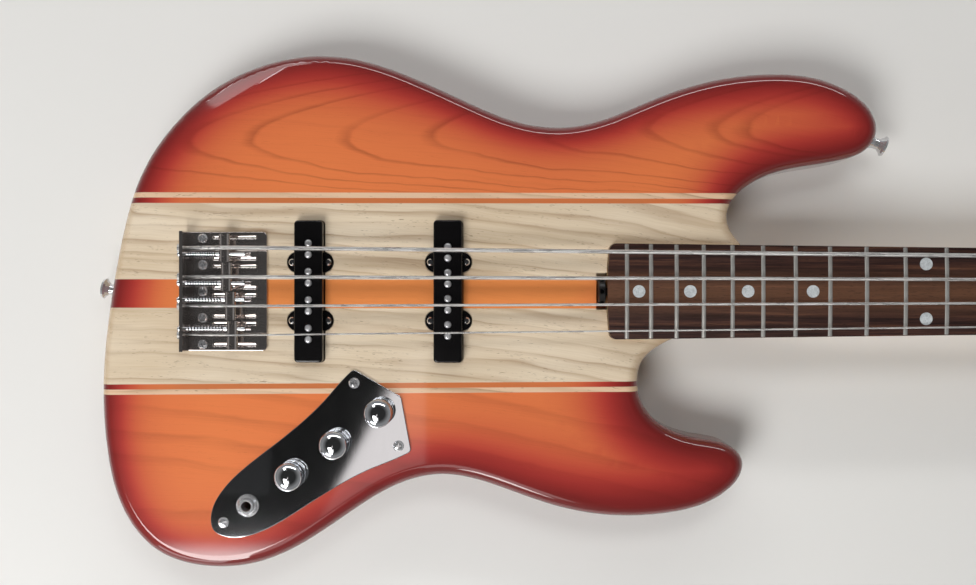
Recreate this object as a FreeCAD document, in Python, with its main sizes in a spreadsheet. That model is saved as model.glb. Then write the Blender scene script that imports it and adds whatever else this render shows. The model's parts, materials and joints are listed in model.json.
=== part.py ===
import FreeCAD, Part
import math
import os
import re
import Sketcher
from FreeCAD import Placement, Rotation, Vector

# Four-string electric bass lying on its back.
# X runs along the neck from the bridge end of the scale, Y towards the thickest string,
# and Z up from the body's back.

doc = FreeCAD.newDocument("ElectricBass")

# Driving dimensions: millimetres, degrees, and counts
sizes = {
    # body
    "body_length": 504.2,
    "body_width": 334.9,
    "body_thick": 44.0,
    "tail_reach": 86.0,
    "forearm_drop": 7.7,
    "forearm_round": 100.0,
    "belly_drop": 10.5,
    "belly_round": 60.0,
    "cut_overrun": 2.0,
    # neck and fretboard
    "scale_length": 863.6,
    "fret_count": 21,
    "board_end": 244.6,
    "board_end_width": 61.35,
    "board_end_bulge": 1.2,
    "board_corner": 5.0,
    "board_thick": 6.0,
    "board_radius": 305.0,
    "heel_thick": 19.4,
    "heel_length": 84.0,
    "heel_ramp": 34.0,
    "heel_corner": 3.0,
    "pocket_depth": 16.0,
    "pocket_gap": 0.3,
    "neck_depth_heel": 16.8,
    "neck_depth_nut": 14.6,
    "fret_width": 2.6,
    "fret_height": 1.1,
    "fret_inset": 0.5,
    "tang_width": 0.6,
    "tang_depth": 1.6,
    "tang_gap": 0.02,
    "dot_radius": 3.95,
    "dot_depth": 2.0,
    "dot_gap": 0.02,
    "dot_pair_spread": 34.5,
    "side_dot_radius": 1.1,
    "side_dot_depth": 2.5,
    "nut_width": 44.0,
    "nut_length": 3.5,
    "nut_seat": 2.0,
    "nut_crown": 0.9,
    # headstock
    "head_length": 217.0,
    "head_width": 82.0,
    "head_thick": 14.5,
    "head_drop": 10.0,
    "head_corner": 13.0,
    "head_ramp": 26.0,
    # truss rod
    "rod_width": 6.0,
    "rod_depth": 9.5,
    "rod_gap": 0.2,
    "rod_nut_margin": 24.0,
    "rod_heel_margin": 9.0,
    "spindle_radius": 2.5,
    "wheel_radius": 8.0,
    "wheel_length": 5.2,
    "wheel_hole_radius": 1.5,
    "wheel_end_gap": 0.6,
    "running_gap": 0.05,
    "notch_width": 23.6,
    "notch_margin": 1.0,
    # neck plate and its screws
    "neck_plate_length": 47.0,
    "neck_plate_width": 44.0,
    "neck_plate_thick": 2.0,
    "neck_plate_corner": 8.0,
    "neck_plate_centre": 26.5,
    "neck_plate_gap": 0.2,
    "neck_screw_inset": 6.5,
    "neck_screw_radius": 2.2,
    "neck_screw_head_radius": 4.4,
    "neck_screw_head": 1.6,
    "neck_screw_bite": 13.0,
    # strings
    "string_e_radius": 1.33,
    "string_a_radius": 1.08,
    "string_d_radius": 0.83,
    "string_g_radius": 0.57,
    "bridge_spread": 56.1,
    "nut_spread": 35.4,
    "string_rise_nut": 1.5,
    "string_rise_bridge": 5.1,
    "string_bend_radius": 10.0,
    "slot_gap": 0.03,
    "ball_radius": 2.9,
    "ball_length": 3.8,
    "winding_gap": 0.3,
    "winding_turn_gap": 0.5,
    "winding_lift": 8.2,
    "winding_lead": 9.0,
    # bridge
    "bridge_length": 53.5,
    "bridge_width": 77.2,
    "bridge_front": 24.9,
    "bridge_base": 2.2,
    "bridge_wall": 2.2,
    "bridge_height": 15.5,
    "bridge_corner": 3.0,
    "bridge_edge": 0.5,
    "bridge_screw_back": 11.6,
    "bridge_screw_pitch": 17.2,
    "bridge_screw_radius": 1.9,
    "bridge_screw_head_radius": 3.1,
    "bridge_screw_head": 1.8,
    "bridge_screw_length": 22.0,
    "groove_length": 29.5,
    "groove_width": 2.9,
    "groove_depth": 0.75,
    "groove_front": 6.2,
    "string_hole_radius": 1.9,
    "string_hole_height": 5.0,
    "saddle_radius": 3.7,
    "saddle_length": 17.9,
    "saddle_notch": 0.8,
    "saddle_notch_gap": 0.15,
    "saddle_e_reach": -0.5,
    "saddle_a_reach": 1.0,
    "saddle_d_reach": 3.5,
    "saddle_g_reach": 4.5,
    "saddle_seat_gap": 0.05,
    "height_screw_radius": 1.3,
    "height_screw_offset": 6.9,
    "height_screw_sink": 1.0,
    "height_screw_tip": 0.45,
    "height_screw_point": 1.1,
    "intonation_offset": 4.0,
    "intonation_radius": 1.3,
    "intonation_hole_gap": 0.1,
    "intonation_head_radius": 2.6,
    "intonation_head": 2.2,
    "intonation_reach": 12.5,
    "intonation_head_gap": 0.05,
    "spring_radius": 2.0,
    "spring_wire_radius": 0.35,
    "spring_turns": 12,
    "spring_end_gap": 0.05,
    # pickups
    "bridge_pickup_place": 52.8,
    "neck_pickup_place": 142.6,
    "pickup_length": 91.4,
    "pickup_width": 18.4,
    "pickup_rise": 8.0,
    "pickup_height": 16.0,
    "pickup_wall": 1.4,
    "pickup_corner": 2.4,
    "pickup_edge": 1.2,
    "pickup_gap": 0.5,
    "pickup_rout": 20.0,
    "ear_radius": 6.4,
    "ear_reach": 14.85,
    "ear_offset": 18.9,
    "ear_thick": 2.8,
    "ear_rise": 0.8,
    "ear_rout": 6.0,
    "ear_screw_reach": 11.6,
    "pickup_screw_radius": 1.4,
    "pickup_screw_head_radius": 2.3,
    "pickup_screw_head": 1.6,
    "pickup_screw_length": 22.0,
    "pole_radius": 2.4,
    "pole_rise": 0.6,
    "pole_gap": 0.1,
    "pole_round": 1.5,
    "pole_pitch": 7.4,
    "bridge_pole_spacing": 18.2,
    "neck_pole_spacing": 16.65,
    "flatwork_thick": 1.6,
    "flatwork_margin": 0.3,
    "coil_width": 13.0,
    "coil_length": 80.0,
    "coil_slot_margin": 0.2,
    "foam_width": 13.0,
    "foam_length": 78.0,
    "foam_gap": 0.3,
    # control plate, pots and jack
    "control_angle": 35.28,
    "control_spacing": 35.2,
    "plate_length": 150.2,
    "plate_width": 65.0,
    "plate_tail": 27.7,
    "plate_thick": 1.6,
    "plate_corner": 3.0,
    "plate_edge": 0.5,
    "plate_screw_reach": 102.7,
    "plate_screw_side": 24.9,
    "plate_screw_tail": 19.3,
    "plate_screw_radius": 1.6,
    "plate_screw_head_radius": 3.5,
    "plate_screw_head": 1.9,
    "plate_screw_length": 16.0,
    "control_rout_radius": 13.6,
    "control_rout_depth": 35.0,
    "channel_radius": 3.6,
    "channel_height": 30.0,
    "bush_radius": 4.7,
    "bush_rise": 5.0,
    "bush_gap": 0.1,
    "bush_chamfer": 0.6,
    "pot_radius": 12.0,
    "pot_height": 9.0,
    "pot_skin": 0.8,
    "pot_shaft_radius": 3.1,
    "pot_shaft_top": 17.0,
    "wiper_radius": 8.5,
    "wiper_thick": 1.2,
    "lug_length": 5.0,
    "lug_width": 2.4,
    "lug_pitch": 5.0,
    "nut_flat_radius": 6.1,
    "nut_thick": 2.2,
    "nut_chamfer": 0.7,
    "washer_radius": 7.4,
    "washer_thick": 0.7,
    "knob_radius": 9.0,
    "knob_height": 15.6,
    "knob_lift": 1.0,
    "knob_dome": 5.0,
    "knob_hollow_radius": 8.0,
    "knob_hollow": 6.0,
    "jack_bore_radius": 3.2,
    "jack_flange_radius": 7.6,
    "jack_flange": 2.4,
    "jack_depth": 22.0,
    "jack_strip_width": 6.0,
    "jack_strip_thick": 0.9,
    "jack_strip_offset": 5.4,
    "capacitor_radius": 5.0,
    "capacitor_thick": 3.6,
    "wire_radius": 1.1,
    # strap buttons
    "button_height": 11.5,
    "button_base_radius": 5.2,
    "button_waist_radius": 3.7,
    "button_head_radius": 6.8,
    "button_rim": 2.2,
    "button_screw_radius": 2.0,
    "button_screw_head_radius": 4.0,
    "button_screw_head": 2.2,
    "button_screw_length": 26.0,
    # tuners
    "post_first": 54.0,
    "post_pitch": 40.0,
    "tuner_slant": 15.3,
    "post_radius": 4.75,
    "post_waist_radius": 4.2,
    "post_height": 25.0,
    "post_slot_width": 3.2,
    "post_slot_depth": 6.0,
    "post_cap": 3.0,
    "ferrule_radius": 8.6,
    "ferrule_sleeve_radius": 7.0,
    "ferrule_sleeve": 8.0,
    "ferrule_flange": 1.3,
    "tuner_plate_length": 32.0,
    "tuner_plate_width": 33.0,
    "tuner_plate_thick": 1.6,
    "tuner_plate_side": 13.0,
    "tuner_ear_thick": 2.2,
    "tuner_ear_gap": 15.0,
    "tuner_ear_width": 8.6,
    "tuner_ear_drop": 3.6,
    "gear_teeth": 20,
    "gear_pitch_radius": 7.5,
    "gear_thick": 4.4,
    "gear_seat_radius": 3.0,
    "gear_screw_head_radius": 4.4,
    "gear_screw_head": 1.8,
    "tooth_addendum": 0.65,
    "tooth_dedendum": 0.9,
    "worm_pitch_radius": 3.7,
    "worm_length": 10.5,
    "worm_lift": 0.5,
    "key_shaft_radius": 2.4,
    "key_reach": 26.0,
    "key_collar_radius": 4.2,
    "key_collar": 6.0,
    "key_lobe_radius": 8.0,
    "key_lobe_spread": 6.6,
    "key_lobe_rise": 10.0,
    "key_thick": 4.6,
    "tuner_screw_radius": 1.2,
    "tuner_screw_head_radius": 2.3,
    "tuner_screw_head": 1.2,
    "tuner_screw_length": 11.0,
    "tuner_screw_inset": 3.5,
    "retainer_reach": 78.0,
    "retainer_radius": 8.2,
    "retainer_thick": 2.2,
    "retainer_stem_radius": 3.0,
    "retainer_lift": 9.4,
}

sheet = doc.addObject("Spreadsheet::Sheet", "Dimensions")
for row, (alias, value) in enumerate(sizes.items(), start=1):
    sheet.set(f"A{row}", alias)
    sheet.set(f"B{row}", str(value))
    sheet.setAlias(f"B{row}", alias)
doc.recompute()


class SheetValues:
    # each named size as a number, read from the sheet
    def __getattr__(self, alias):
        return float(getattr(sheet, alias))


size = SheetValues()
up = Vector(0, 0, 1)
along = Vector(1, 0, 0)
across = Vector(0, 1, 0)
strings = ("e", "a", "d", "g")
nodes = {}


def formula(words):
    # sheet names in a formula are given their sheet
    return re.sub(r"[a-z]\w*", lambda m: f"Dimensions.{m[0]}" if m[0] in sizes else m[0], words)


def bind(piece, **fields):
    for field, words in fields.items():
        piece.setExpression(field, formula(words))
    return piece


def facing(axis):
    return Rotation(up, axis)


def cylinder(name, radius, height, base=Vector(), axis=up):
    piece = bind(doc.addObject("Part::Cylinder", name), Radius=radius, Height=height)
    piece.Placement = Placement(base, facing(axis))
    return piece


def ball(name, radius, centre):
    piece = bind(doc.addObject("Part::Sphere", name), Radius=radius)
    piece.Placement = Placement(centre, Rotation())
    return piece


def box(name, length, width, height, corner=Vector(), turn=Rotation()):
    piece = bind(doc.addObject("Part::Box", name), Length=length, Width=width, Height=height)
    piece.Placement = Placement(corner, turn)
    return piece


def shaped(name, shape, base=Vector(), turn=Rotation()):
    piece = doc.addObject("Part::Feature", name)
    piece.Shape = shape
    piece.Placement = Placement(base, turn)
    return piece


def joined(name, pieces):
    piece = doc.addObject("Part::MultiFuse", name)
    piece.Shapes = pieces
    piece.Refine = True
    return piece


def cut(name, base, tools):
    piece = doc.addObject("Part::Cut", name)
    piece.Base = base
    piece.Tool = tools[0] if len(tools) == 1 else group(name + "_tools", tools)
    return piece


def group(name, pieces):
    piece = doc.addObject("Part::Compound", name)
    piece.Links = pieces
    return piece


def copies(name, piece, places):
    # the same piece at several places, as separate solids of one group
    links = []
    for number, place in enumerate(places, start=1):
        link = doc.addObject("App::Link", f"{name}_{number}")
        link.LinkedObject = piece
        link.Placement = place
        links.append(link)
    return group(name, links)


def node(name, piece):
    piece.Label = name
    nodes[name] = piece
    return piece


def sketch_on(body, role, name):
    plane = next(feature for feature in body.Origin.OriginFeatures if feature.Role == role)
    sketch = body.newObject("Sketcher::SketchObject", name)
    sketch.AttachmentSupport = [(plane, "")]
    sketch.MapMode = "FlatFace"
    return sketch


def draw_outline(sketch, corners):
    # a closed outline of straight edges, with each corner held by two formulas
    count = len(corners)
    start = [Vector(math.cos(2 * math.pi * i / count), math.sin(2 * math.pi * i / count)) for i in range(count)]
    for i in range(count):
        sketch.addGeometry(Part.LineSegment(start[i], start[(i + 1) % count]))
    for i in range(count):
        sketch.addConstraint(Sketcher.Constraint("Coincident", i, 2, (i + 1) % count, 1))
    for i, (first, second) in enumerate(corners):
        for kind, words, here in (("DistanceX", first, start[i].x), ("DistanceY", second, start[i].y)):
            number = sketch.addConstraint(Sketcher.Constraint(kind, -1, 1, i, 1, here))
            sketch.setExpression(f"Constraints[{number}]", formula(words))


def turned(name, profile, base=Vector(), axis=up):
    # a piece turned about its own Z axis from (radius, height) corners
    body = doc.addObject("PartDesign::Body", name)
    sketch = sketch_on(body, "XZ_Plane", name + "_profile")
    draw_outline(sketch, profile)
    turn = body.newObject("PartDesign::Revolution", name + "_turn")
    turn.Profile = sketch
    turn.ReferenceAxis = (sketch, ["V_Axis"])
    turn.Angle = 360
    body.Placement = Placement(base, facing(axis))
    return body


def padded(name, outline, height, base=Vector(), turn=Rotation()):
    # a plate of the given outline, standing on its own XY plane
    body = doc.addObject("PartDesign::Body", name)
    sketch = sketch_on(body, "XY_Plane", name + "_outline")
    draw_outline(sketch, outline)
    pad = body.newObject("PartDesign::Pad", name + "_pad")
    pad.Profile = sketch
    bind(pad, Length=height)
    body.Placement = Placement(base, turn)
    doc.recompute()
    return body


def rounded(body, name, radius, wanted):
    # rounds the edges of a body that the test picks
    doc.recompute()
    last = body.Tip
    edges = [f"Edge{i}" for i, edge in enumerate(last.Shape.Edges, start=1) if wanted(edge)]
    fillet = body.newObject("PartDesign::Fillet", name)
    fillet.Base = (last, edges)
    bind(fillet, Radius=radius)
    doc.recompute()
    return body


def is_upright(edge):
    first, last = edge.Vertexes[0].Point, edge.Vertexes[-1].Point
    return abs((last - first).z) > 0 and (last - first).cross(up).Length < (last - first).Length * 1e-6


def rectangle(length, width):
    return [(f"-{length}/2", f"-{width}/2"), (f"{length}/2", f"-{width}/2"),
            (f"{length}/2", f"{width}/2"), (f"-{length}/2", f"{width}/2")]


# length, width and depth of a cross recess, as shares of the screw head's radius
cross_shares = (1.1, 0.28, 0.45)


def crossed(name, piece, head_radius, level):
    # a screw with a cross recess in the end face at the level
    radius = getattr(size, head_radius)
    reach, width, depth = (radius * share for share in cross_shares)
    arms = []
    for number, (x, y) in enumerate(((reach, width), (width, reach))):
        corner = Vector(-x / 2, -y / 2, level - depth)
        first, second = (cross_shares[0], cross_shares[1]) if number == 0 else (cross_shares[1], cross_shares[0])
        arms.append(box(f"{name}_arm_{number}", f"{head_radius}*{first}", f"{head_radius}*{second}",
                        f"2*{head_radius}*{cross_shares[2]}", corner))
    return cut(f"{name}_crossed", piece, arms)


def screw(name, shank, head_radius, head, length):
    # a domed wood screw, head on +Z, its seat at zero
    blank = turned(name, [
        ("0", f"-{length}"), (shank, f"-{length} + 2*{shank}"), (shank, "0"), (head_radius, "0"),
        (head_radius, f"{head}*0.35"), (f"{head_radius}*0.72", f"{head}*0.85"), ("0", head)])
    return crossed(name, blank, head_radius, getattr(size, head))


# Heights of the neck's layers
board_under = size.body_thick - size.pocket_depth + size.heel_thick
board_top = board_under + size.board_thick
head_top = board_top - size.head_drop
head_back = head_top - size.head_thick
nut_back = size.scale_length + size.nut_length


def board_half_width(x):
    slope = (size.board_end_width - size.nut_width) / (size.scale_length - size.board_end)
    return (size.nut_width + slope * (size.scale_length - x)) / 2


def crown_drop(y):
    return size.board_radius - math.sqrt(size.board_radius**2 - y**2)


def fret_place(number):
    return size.scale_length / 2 ** (number / 12)


def neck_outline(x_far, gap):
    # plan of the neck from its slightly bowed end to x_far, widened by the gap
    start = size.board_end - gap
    corner = size.board_corner
    bowed = start + size.board_end_bulge
    half = board_half_width(bowed + corner) + gap
    far_half = board_half_width(x_far) + gap
    bend = corner * (1 - math.sqrt(0.5))
    left = [Vector(bowed, half - corner), Vector(bowed + bend, half - bend), Vector(bowed + corner, half)]
    right = [Vector(p.x, -p.y) for p in left]
    far_left, far_right = Vector(x_far, far_half), Vector(x_far, -far_half)
    edges = [
        Part.Arc(right[0], Vector(start, 0), left[0]),
        Part.Arc(*left),
        Part.LineSegment(left[2], far_left),
        Part.LineSegment(far_left, far_right),
        Part.LineSegment(far_right, right[2]),
        Part.Arc(right[2], right[1], right[0]),
    ]
    return Part.Face(Part.Wire([edge.toShape() for edge in edges]))


# Body: outline as shares of the body's length from the tail and of its width from the centre line
body_outline_shares = [
    (0.8370, 0.0418), (0.8271, 0.0926), (0.8144, 0.1194), (0.8104, 0.1478), (0.8175, 0.1762), (0.8350, 0.2024),
    (0.8687, 0.2281), (0.9163, 0.2431), (0.9599, 0.2550), (0.9877, 0.2735), (1.0000, 0.3046), (0.9946, 0.3434),
    (0.9679, 0.3828), (0.9203, 0.4121), (0.8588, 0.4195), (0.7894, 0.4067), (0.7180, 0.3732), (0.6466, 0.3308),
    (0.5950, 0.3186), (0.5395, 0.3308), (0.4720, 0.3721), (0.4006, 0.4204), (0.3332, 0.4533), (0.2658, 0.4607),
    (0.2023, 0.4419), (0.1428, 0.3989), (0.0912, 0.3273), (0.0516, 0.2329), (0.0268, 0.1135), (0.0099, -0.0269),
    (0.0008, -0.1642), (0.0048, -0.3016), (0.0278, -0.4300), (0.0714, -0.5076), (0.1428, -0.5393),
    (0.2063, -0.5297), (0.2697, -0.4867), (0.3372, -0.4186), (0.3927, -0.3726), (0.4443, -0.3565),
    (0.5038, -0.3726), (0.5791, -0.4115), (0.6585, -0.4339), (0.7299, -0.4300), (0.7814, -0.4109),
    (0.8112, -0.3840), (0.8278, -0.3529), (0.8294, -0.3231), (0.8163, -0.3004), (0.7735, -0.2837),
    (0.7299, -0.2610), (0.7061, -0.2269), (0.6960, -0.1792), (0.7021, -0.1350), (0.7279, -0.1015),
    (0.7695, -0.0702), (0.8112, -0.0209),
]
# ends of the straight lines where the forearm and belly slopes leave the flat faces
forearm_line_shares = ((0.0555, 0.2389), (0.3015, 0.4598))
belly_line_shares = ((0.0700, 0.1600), (0.4100, 0.3500))


def body_point(share):
    return Vector(share[0] * size.body_length - size.tail_reach, share[1] * size.body_width)


body_curve = Part.BSplineCurve()
body_curve.interpolate([body_point(share) for share in body_outline_shares], PeriodicFlag=True)
# the edges are rounded by a share of the outline's tightest bend
edge_round_share = 0.88
outline_steps = 720
outline_span = body_curve.LastParameter - body_curve.FirstParameter
outline_places = [body_curve.FirstParameter + outline_span * step / outline_steps for step in range(outline_steps)]
tightest_bend = 1 / max(body_curve.curvature(place) for place in outline_places)


def slope_wedge(line_shares, drop, level, side):
    # everything outside a plane that leaves the face along the line and has sloped by the drop at the far edge
    first, last = (body_point(share) + up * level for share in line_shares)
    way = (last - first).normalize()
    out = up.cross(way).normalize()
    far = max((body_curve.value(place) - first).dot(out) for place in outline_places)
    reach = size.body_width
    fall = (out * far - up * side * drop).normalize() * reach
    corner = first - way * reach
    rise = up * side * reach
    face = Part.makePolygon([corner, corner + fall, corner + fall + rise, corner + rise, corner])
    return Part.Face(face).extrude(way * (reach * 2 + (last - first).Length))


def crease_between(shape, line_shares, level):
    # the straight edge left on a face by a slope
    middle = (body_point(line_shares[0]) + body_point(line_shares[1])) / 2 + up * level
    spot = Part.Vertex(middle)
    return min((e for e in shape.Edges if e.Curve.TypeId == "Part::GeomLine"), key=lambda e: e.distToShape(spot)[0])


def body_blank():
    thick = size.body_thick
    blank = Part.Face(Part.Wire([body_curve.toShape()])).extrude(up * thick)
    blank = blank.cut(slope_wedge(forearm_line_shares, size.forearm_drop, thick, 1))
    blank = blank.cut(slope_wedge(belly_line_shares, size.belly_drop, 0, -1))
    blank = blank.makeFillet(size.forearm_round, [crease_between(blank, forearm_line_shares, thick)])
    blank = blank.makeFillet(size.belly_round, [crease_between(blank, belly_line_shares, 0)])
    walls = [face for face in blank.Faces if face.Surface.TypeId == "Part::GeomSurfaceOfExtrusion"]
    rims = [edge for face in walls for edge in face.Edges if not is_upright(edge)]
    return blank.makeFillet(tightest_bend * edge_round_share, rims)


def wall_point(share_x, share_y):
    # the nearest point of the body's side at mid height, and the way out of it there
    near = body_point((share_x, share_y))
    place = body_curve.parameter(near)
    point = body_curve.value(place)
    tangent = body_curve.tangent(place)[0]
    out = Vector(tangent.y, -tangent.x)
    if out.dot(point - body_point((0.4, 0))) < 0:
        out = -out
    return point + up * size.body_thick / 2, out


control_turn = Rotation(up, size.control_angle)
# the jack's place as shares of the body's length and width
jack_shares = (0.1946, -0.4147)
jack_place = body_point(jack_shares) + up * size.body_thick


def control_place(u, v, z=0):
    # a place on the control plate: u along its line of controls from the jack, v across
    return jack_place + control_turn.multVec(Vector(u, v, z))


pot_places = [control_place(size.control_spacing * number, 0) for number in (1, 2, 3)]
plate_screw_places = [
    control_place(size.plate_screw_reach, size.plate_screw_side),
    control_place(size.plate_screw_reach, -size.plate_screw_side),
    control_place(-size.plate_screw_tail, 0),
]
pickups = {"bridge_pickup": size.bridge_pickup_place, "neck_pickup": size.neck_pickup_place}
pole_spacings = {"bridge_pickup": size.bridge_pole_spacing, "neck_pickup": size.neck_pole_spacing}
ear_sides = [(sx, sy) for sx in (-1, 1) for sy in (-1, 1)]
ear_centre = size.ear_reach - size.ear_radius
bridge_back = size.bridge_front - size.bridge_length
bridge_screw_places = [
    Vector(bridge_back + size.bridge_screw_back, size.bridge_screw_pitch * k, size.body_thick + size.bridge_base)
    for k in (-2, -1, 0, 1, 2)]
neck_screw_places = [
    Vector(size.board_end + size.neck_plate_centre + sx * (size.neck_plate_length / 2 - size.neck_screw_inset),
           sy * (size.neck_plate_width / 2 - size.neck_screw_inset), size.neck_plate_gap)
    for sx, sy in ear_sides]
button_shares = ((0.0130, 0.0012), (0.9969, 0.2970))
button_places = [wall_point(*share) for share in button_shares]
rod_level = board_under - size.rod_gap - size.rod_depth / 2


def pickup_cavities():
    tools = []
    top = size.body_thick
    for name, x in pickups.items():
        rout = padded(name + "_rout", rectangle("(pickup_width + 2*pickup_gap)", "(pickup_length + 2*pickup_gap)"),
                      "pickup_rout + cut_overrun", Vector(x, 0, top - size.pickup_rout))
        rounded(rout, name + "_rout_round", "pickup_corner + pickup_gap", is_upright)
        tools.append(rout)
        for sx, sy in ear_sides:
            ear = Vector(x + sx * ear_centre, sy * size.ear_offset, top - size.ear_rout)
            tools.append(cylinder(f"{name}_ear_rout_{sx}_{sy}", "ear_radius + pickup_gap",
                                  "ear_rout + cut_overrun", ear))
            hole = Vector(x + sx * size.ear_screw_reach, sy * size.ear_offset,
                          top + size.ear_rise - size.pickup_screw_length - size.cut_overrun * 2)
            tools.append(cylinder(f"{name}_screw_hole_{sx}_{sy}", "pickup_screw_radius + running_gap",
                                  "pickup_screw_length", hole))
    return tools


def control_cavity():
    floor = -size.control_rout_depth
    reach = 3 * size.control_spacing
    tools = [
        cylinder("jack_rout", "control_rout_radius", "control_rout_depth + cut_overrun", control_place(0, 0, floor)),
        cylinder("pot_rout", "control_rout_radius", "control_rout_depth + cut_overrun", control_place(reach, 0, floor)),
        box("control_rout", "3*control_spacing", "2*control_rout_radius", "control_rout_depth + cut_overrun",
            control_place(0, -size.control_rout_radius, floor), control_turn),
    ]
    for number, place in enumerate(plate_screw_places, start=1):
        tools.append(cylinder(f"plate_pilot_{number}", "plate_screw_radius", "plate_screw_length + cut_overrun",
                              place - up * size.plate_screw_length))
    return tools


def wire_route(pickup, pot):
    # the drilled way from a pickup's rout to the control rout
    start = Vector(pickups[pickup], -size.pickup_length / 2 + 3 * size.wire_radius, size.channel_height)
    end = Vector(pot_places[pot].x, pot_places[pot].y, size.channel_height)
    return start, end


def channels():
    tools = []
    for pickup, pot in (("bridge_pickup", 1), ("neck_pickup", 2)):
        start, end = wire_route(pickup, pot)
        tool = cylinder(pickup + "_channel", "channel_radius", "channel_radius", start, end - start)
        tool.setExpression("Height", None)
        tool.Height = (end - start).Length
        tools.append(tool)
    return tools


def neck_pocket():
    pocket = neck_outline(size.board_end + size.body_length, size.pocket_gap)
    pocket.translate(up * (size.body_thick - size.pocket_depth))
    tools = [shaped("pocket", pocket.extrude(up * (size.pocket_depth + size.cut_overrun)))]
    wheel_low = rod_level - size.wheel_radius - size.notch_margin
    notch_start = size.board_end - size.wheel_end_gap - size.wheel_length - size.notch_margin
    notch = box("wheel_notch", "wheel_length + wheel_end_gap + notch_margin + board_corner", "notch_width",
                "body_thick", Vector(notch_start, -size.notch_width / 2, wheel_low))
    tools.append(notch)
    plate_spot = Vector(size.board_end + size.neck_plate_centre, 0, -size.cut_overrun)
    recess = padded("plate_recess", rectangle("(neck_plate_length + 2*neck_plate_gap)",
                                              "(neck_plate_width + 2*neck_plate_gap)"),
                    "neck_plate_thick + neck_plate_gap + cut_overrun", plate_spot)
    tools.append(rounded(recess, "plate_recess_corner", "neck_plate_corner + neck_plate_gap", is_upright))
    for number, place in enumerate(neck_screw_places, start=1):
        tools.append(cylinder(f"neck_bolt_hole_{number}", "neck_screw_radius", "body_thick", place))
    return tools


def bridge_pilots():
    return [cylinder(f"bridge_pilot_{number}", "bridge_screw_radius", "bridge_screw_length", place
                     - up * size.bridge_screw_length) for number, place in enumerate(bridge_screw_places, start=1)]


def button_pilots():
    return [cylinder(f"button_pilot_{number}", "button_screw_radius", "button_screw_length",
                     place - out * (size.button_screw_length - size.cut_overrun), out)
            for number, (place, out) in enumerate(button_places, start=1)]


blank = shaped("body_blank", body_blank())
node("body", cut("body", blank, neck_pocket() + pickup_cavities() + control_cavity() + channels()
                 + bridge_pilots() + button_pilots()))


# Neck: heel, shaft and headstock in one piece of wood
def neck_section(x, half, top, depth, corner_width, corner_depth):
    # straight sides, elliptic lower corners and a short flat back
    low = top - depth
    bend = low + corner_depth

    def corner(side):
        centre = Vector(x, side * (half - corner_width), bend)
        outer = Vector(x, side * half, bend)
        lower = Vector(x, side * (half - corner_width), low)
        if corner_width >= corner_depth:
            curve = Part.Ellipse(outer, lower, centre)
        else:
            curve = Part.Ellipse(lower, outer, centre)
        ends = sorted((curve.parameter(outer), curve.parameter(lower)))
        if ends[1] - ends[0] > math.pi:
            ends = [ends[1], ends[0] + 2 * math.pi]
        return Part.ArcOfEllipse(curve, *ends).toShape()

    def line(y1, z1, y2, z2):
        return Part.LineSegment(Vector(x, y1, z1), Vector(x, y2, z2)).toShape()

    edges = [
        line(half, top, -half, top),
        line(-half, top, -half, bend),
        corner(-1),
        line(-(half - corner_width), low, half - corner_width, low),
        corner(1),
        line(half, bend, half, top),
    ]
    return Part.Wire(Part.__sortEdges__(edges))


# corner width and depth of the rounded neck back, as shares of its half width and depth
back_corner_shares = (0.94, 0.93)
ramp_steps = 6


def shaft_depth(x):
    heel_end = size.board_end + size.heel_length
    share = (x - heel_end) / (size.scale_length - heel_end)
    return size.neck_depth_heel + share * (size.neck_depth_nut - size.neck_depth_heel)


def shaft_section(x):
    half, depth = board_half_width(x), shaft_depth(x)
    return neck_section(x, half, board_under, depth, half * back_corner_shares[0], depth * back_corner_shares[1])


def eased(share):
    return share * share * (3 - 2 * share)


def mixed(first, last, share):
    return first + (last - first) * share


def heel_ramp():
    # the heel block easing into the rounded back
    sections = []
    start = size.board_end + size.heel_length
    for step in range(ramp_steps + 1):
        share = step / ramp_steps
        x = start + size.heel_ramp * share
        half = board_half_width(x)
        ease = eased(share)
        depth = mixed(size.heel_thick, shaft_depth(x), ease)
        corner_width = mixed(size.heel_corner, half * back_corner_shares[0], ease)
        corner_depth = mixed(size.heel_corner, depth * back_corner_shares[1], ease)
        sections.append(neck_section(x, half, board_under, depth, corner_width, corner_depth))
    return Part.makeLoft(sections, True, False)


def head_ramp():
    # the shaft easing past the nut down to the headstock's face and back
    sections = []
    start = nut_back + size.nut_length
    half = size.nut_width / 2
    for step in range(ramp_steps + 1):
        share = step / ramp_steps
        x = start + size.head_ramp * share
        ease = eased(share)
        top = mixed(board_under, head_top, ease)
        low = mixed(board_under - shaft_depth(size.scale_length), head_back, ease)
        corner_width = mixed(half * back_corner_shares[0], size.heel_corner, ease)
        corner_depth = mixed((top - low) * back_corner_shares[1], size.heel_corner, ease)
        sections.append(neck_section(x, half, top, top - low, corner_width, corner_depth))
    return Part.makeLoft(sections, True, False)


def neck_wood():
    heel_end = size.board_end + size.heel_length
    heel_plan = neck_outline(heel_end, 0)
    heel_plan.translate(up * (board_under - size.heel_thick))
    heel = heel_plan.extrude(up * size.heel_thick)
    ramp_end = heel_end + size.heel_ramp
    half = size.nut_width / 2
    depth = shaft_depth(size.scale_length)
    shelf_end = nut_back + size.nut_length
    corner = (half * back_corner_shares[0], depth * back_corner_shares[1])
    shaft = Part.makeLoft([shaft_section(ramp_end), shaft_section(size.scale_length)], True, True)
    shelf = Part.makeLoft([neck_section(x, half, board_under, depth, *corner)
                           for x in (size.scale_length, shelf_end)], True, True)
    return heel.fuse([heel_ramp(), shaft, shelf, head_ramp()]).removeSplitter()


# headstock corners as shares of its length from the nut and of its width from the centre line
head_outline_shares = [
    (0.130, -0.262), (0.320, -0.285), (0.935, -0.455), (1.000, -0.100), (0.935, 0.105),
    (0.270, 0.565), (0.165, 0.540), (0.130, 0.262),
]


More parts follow.
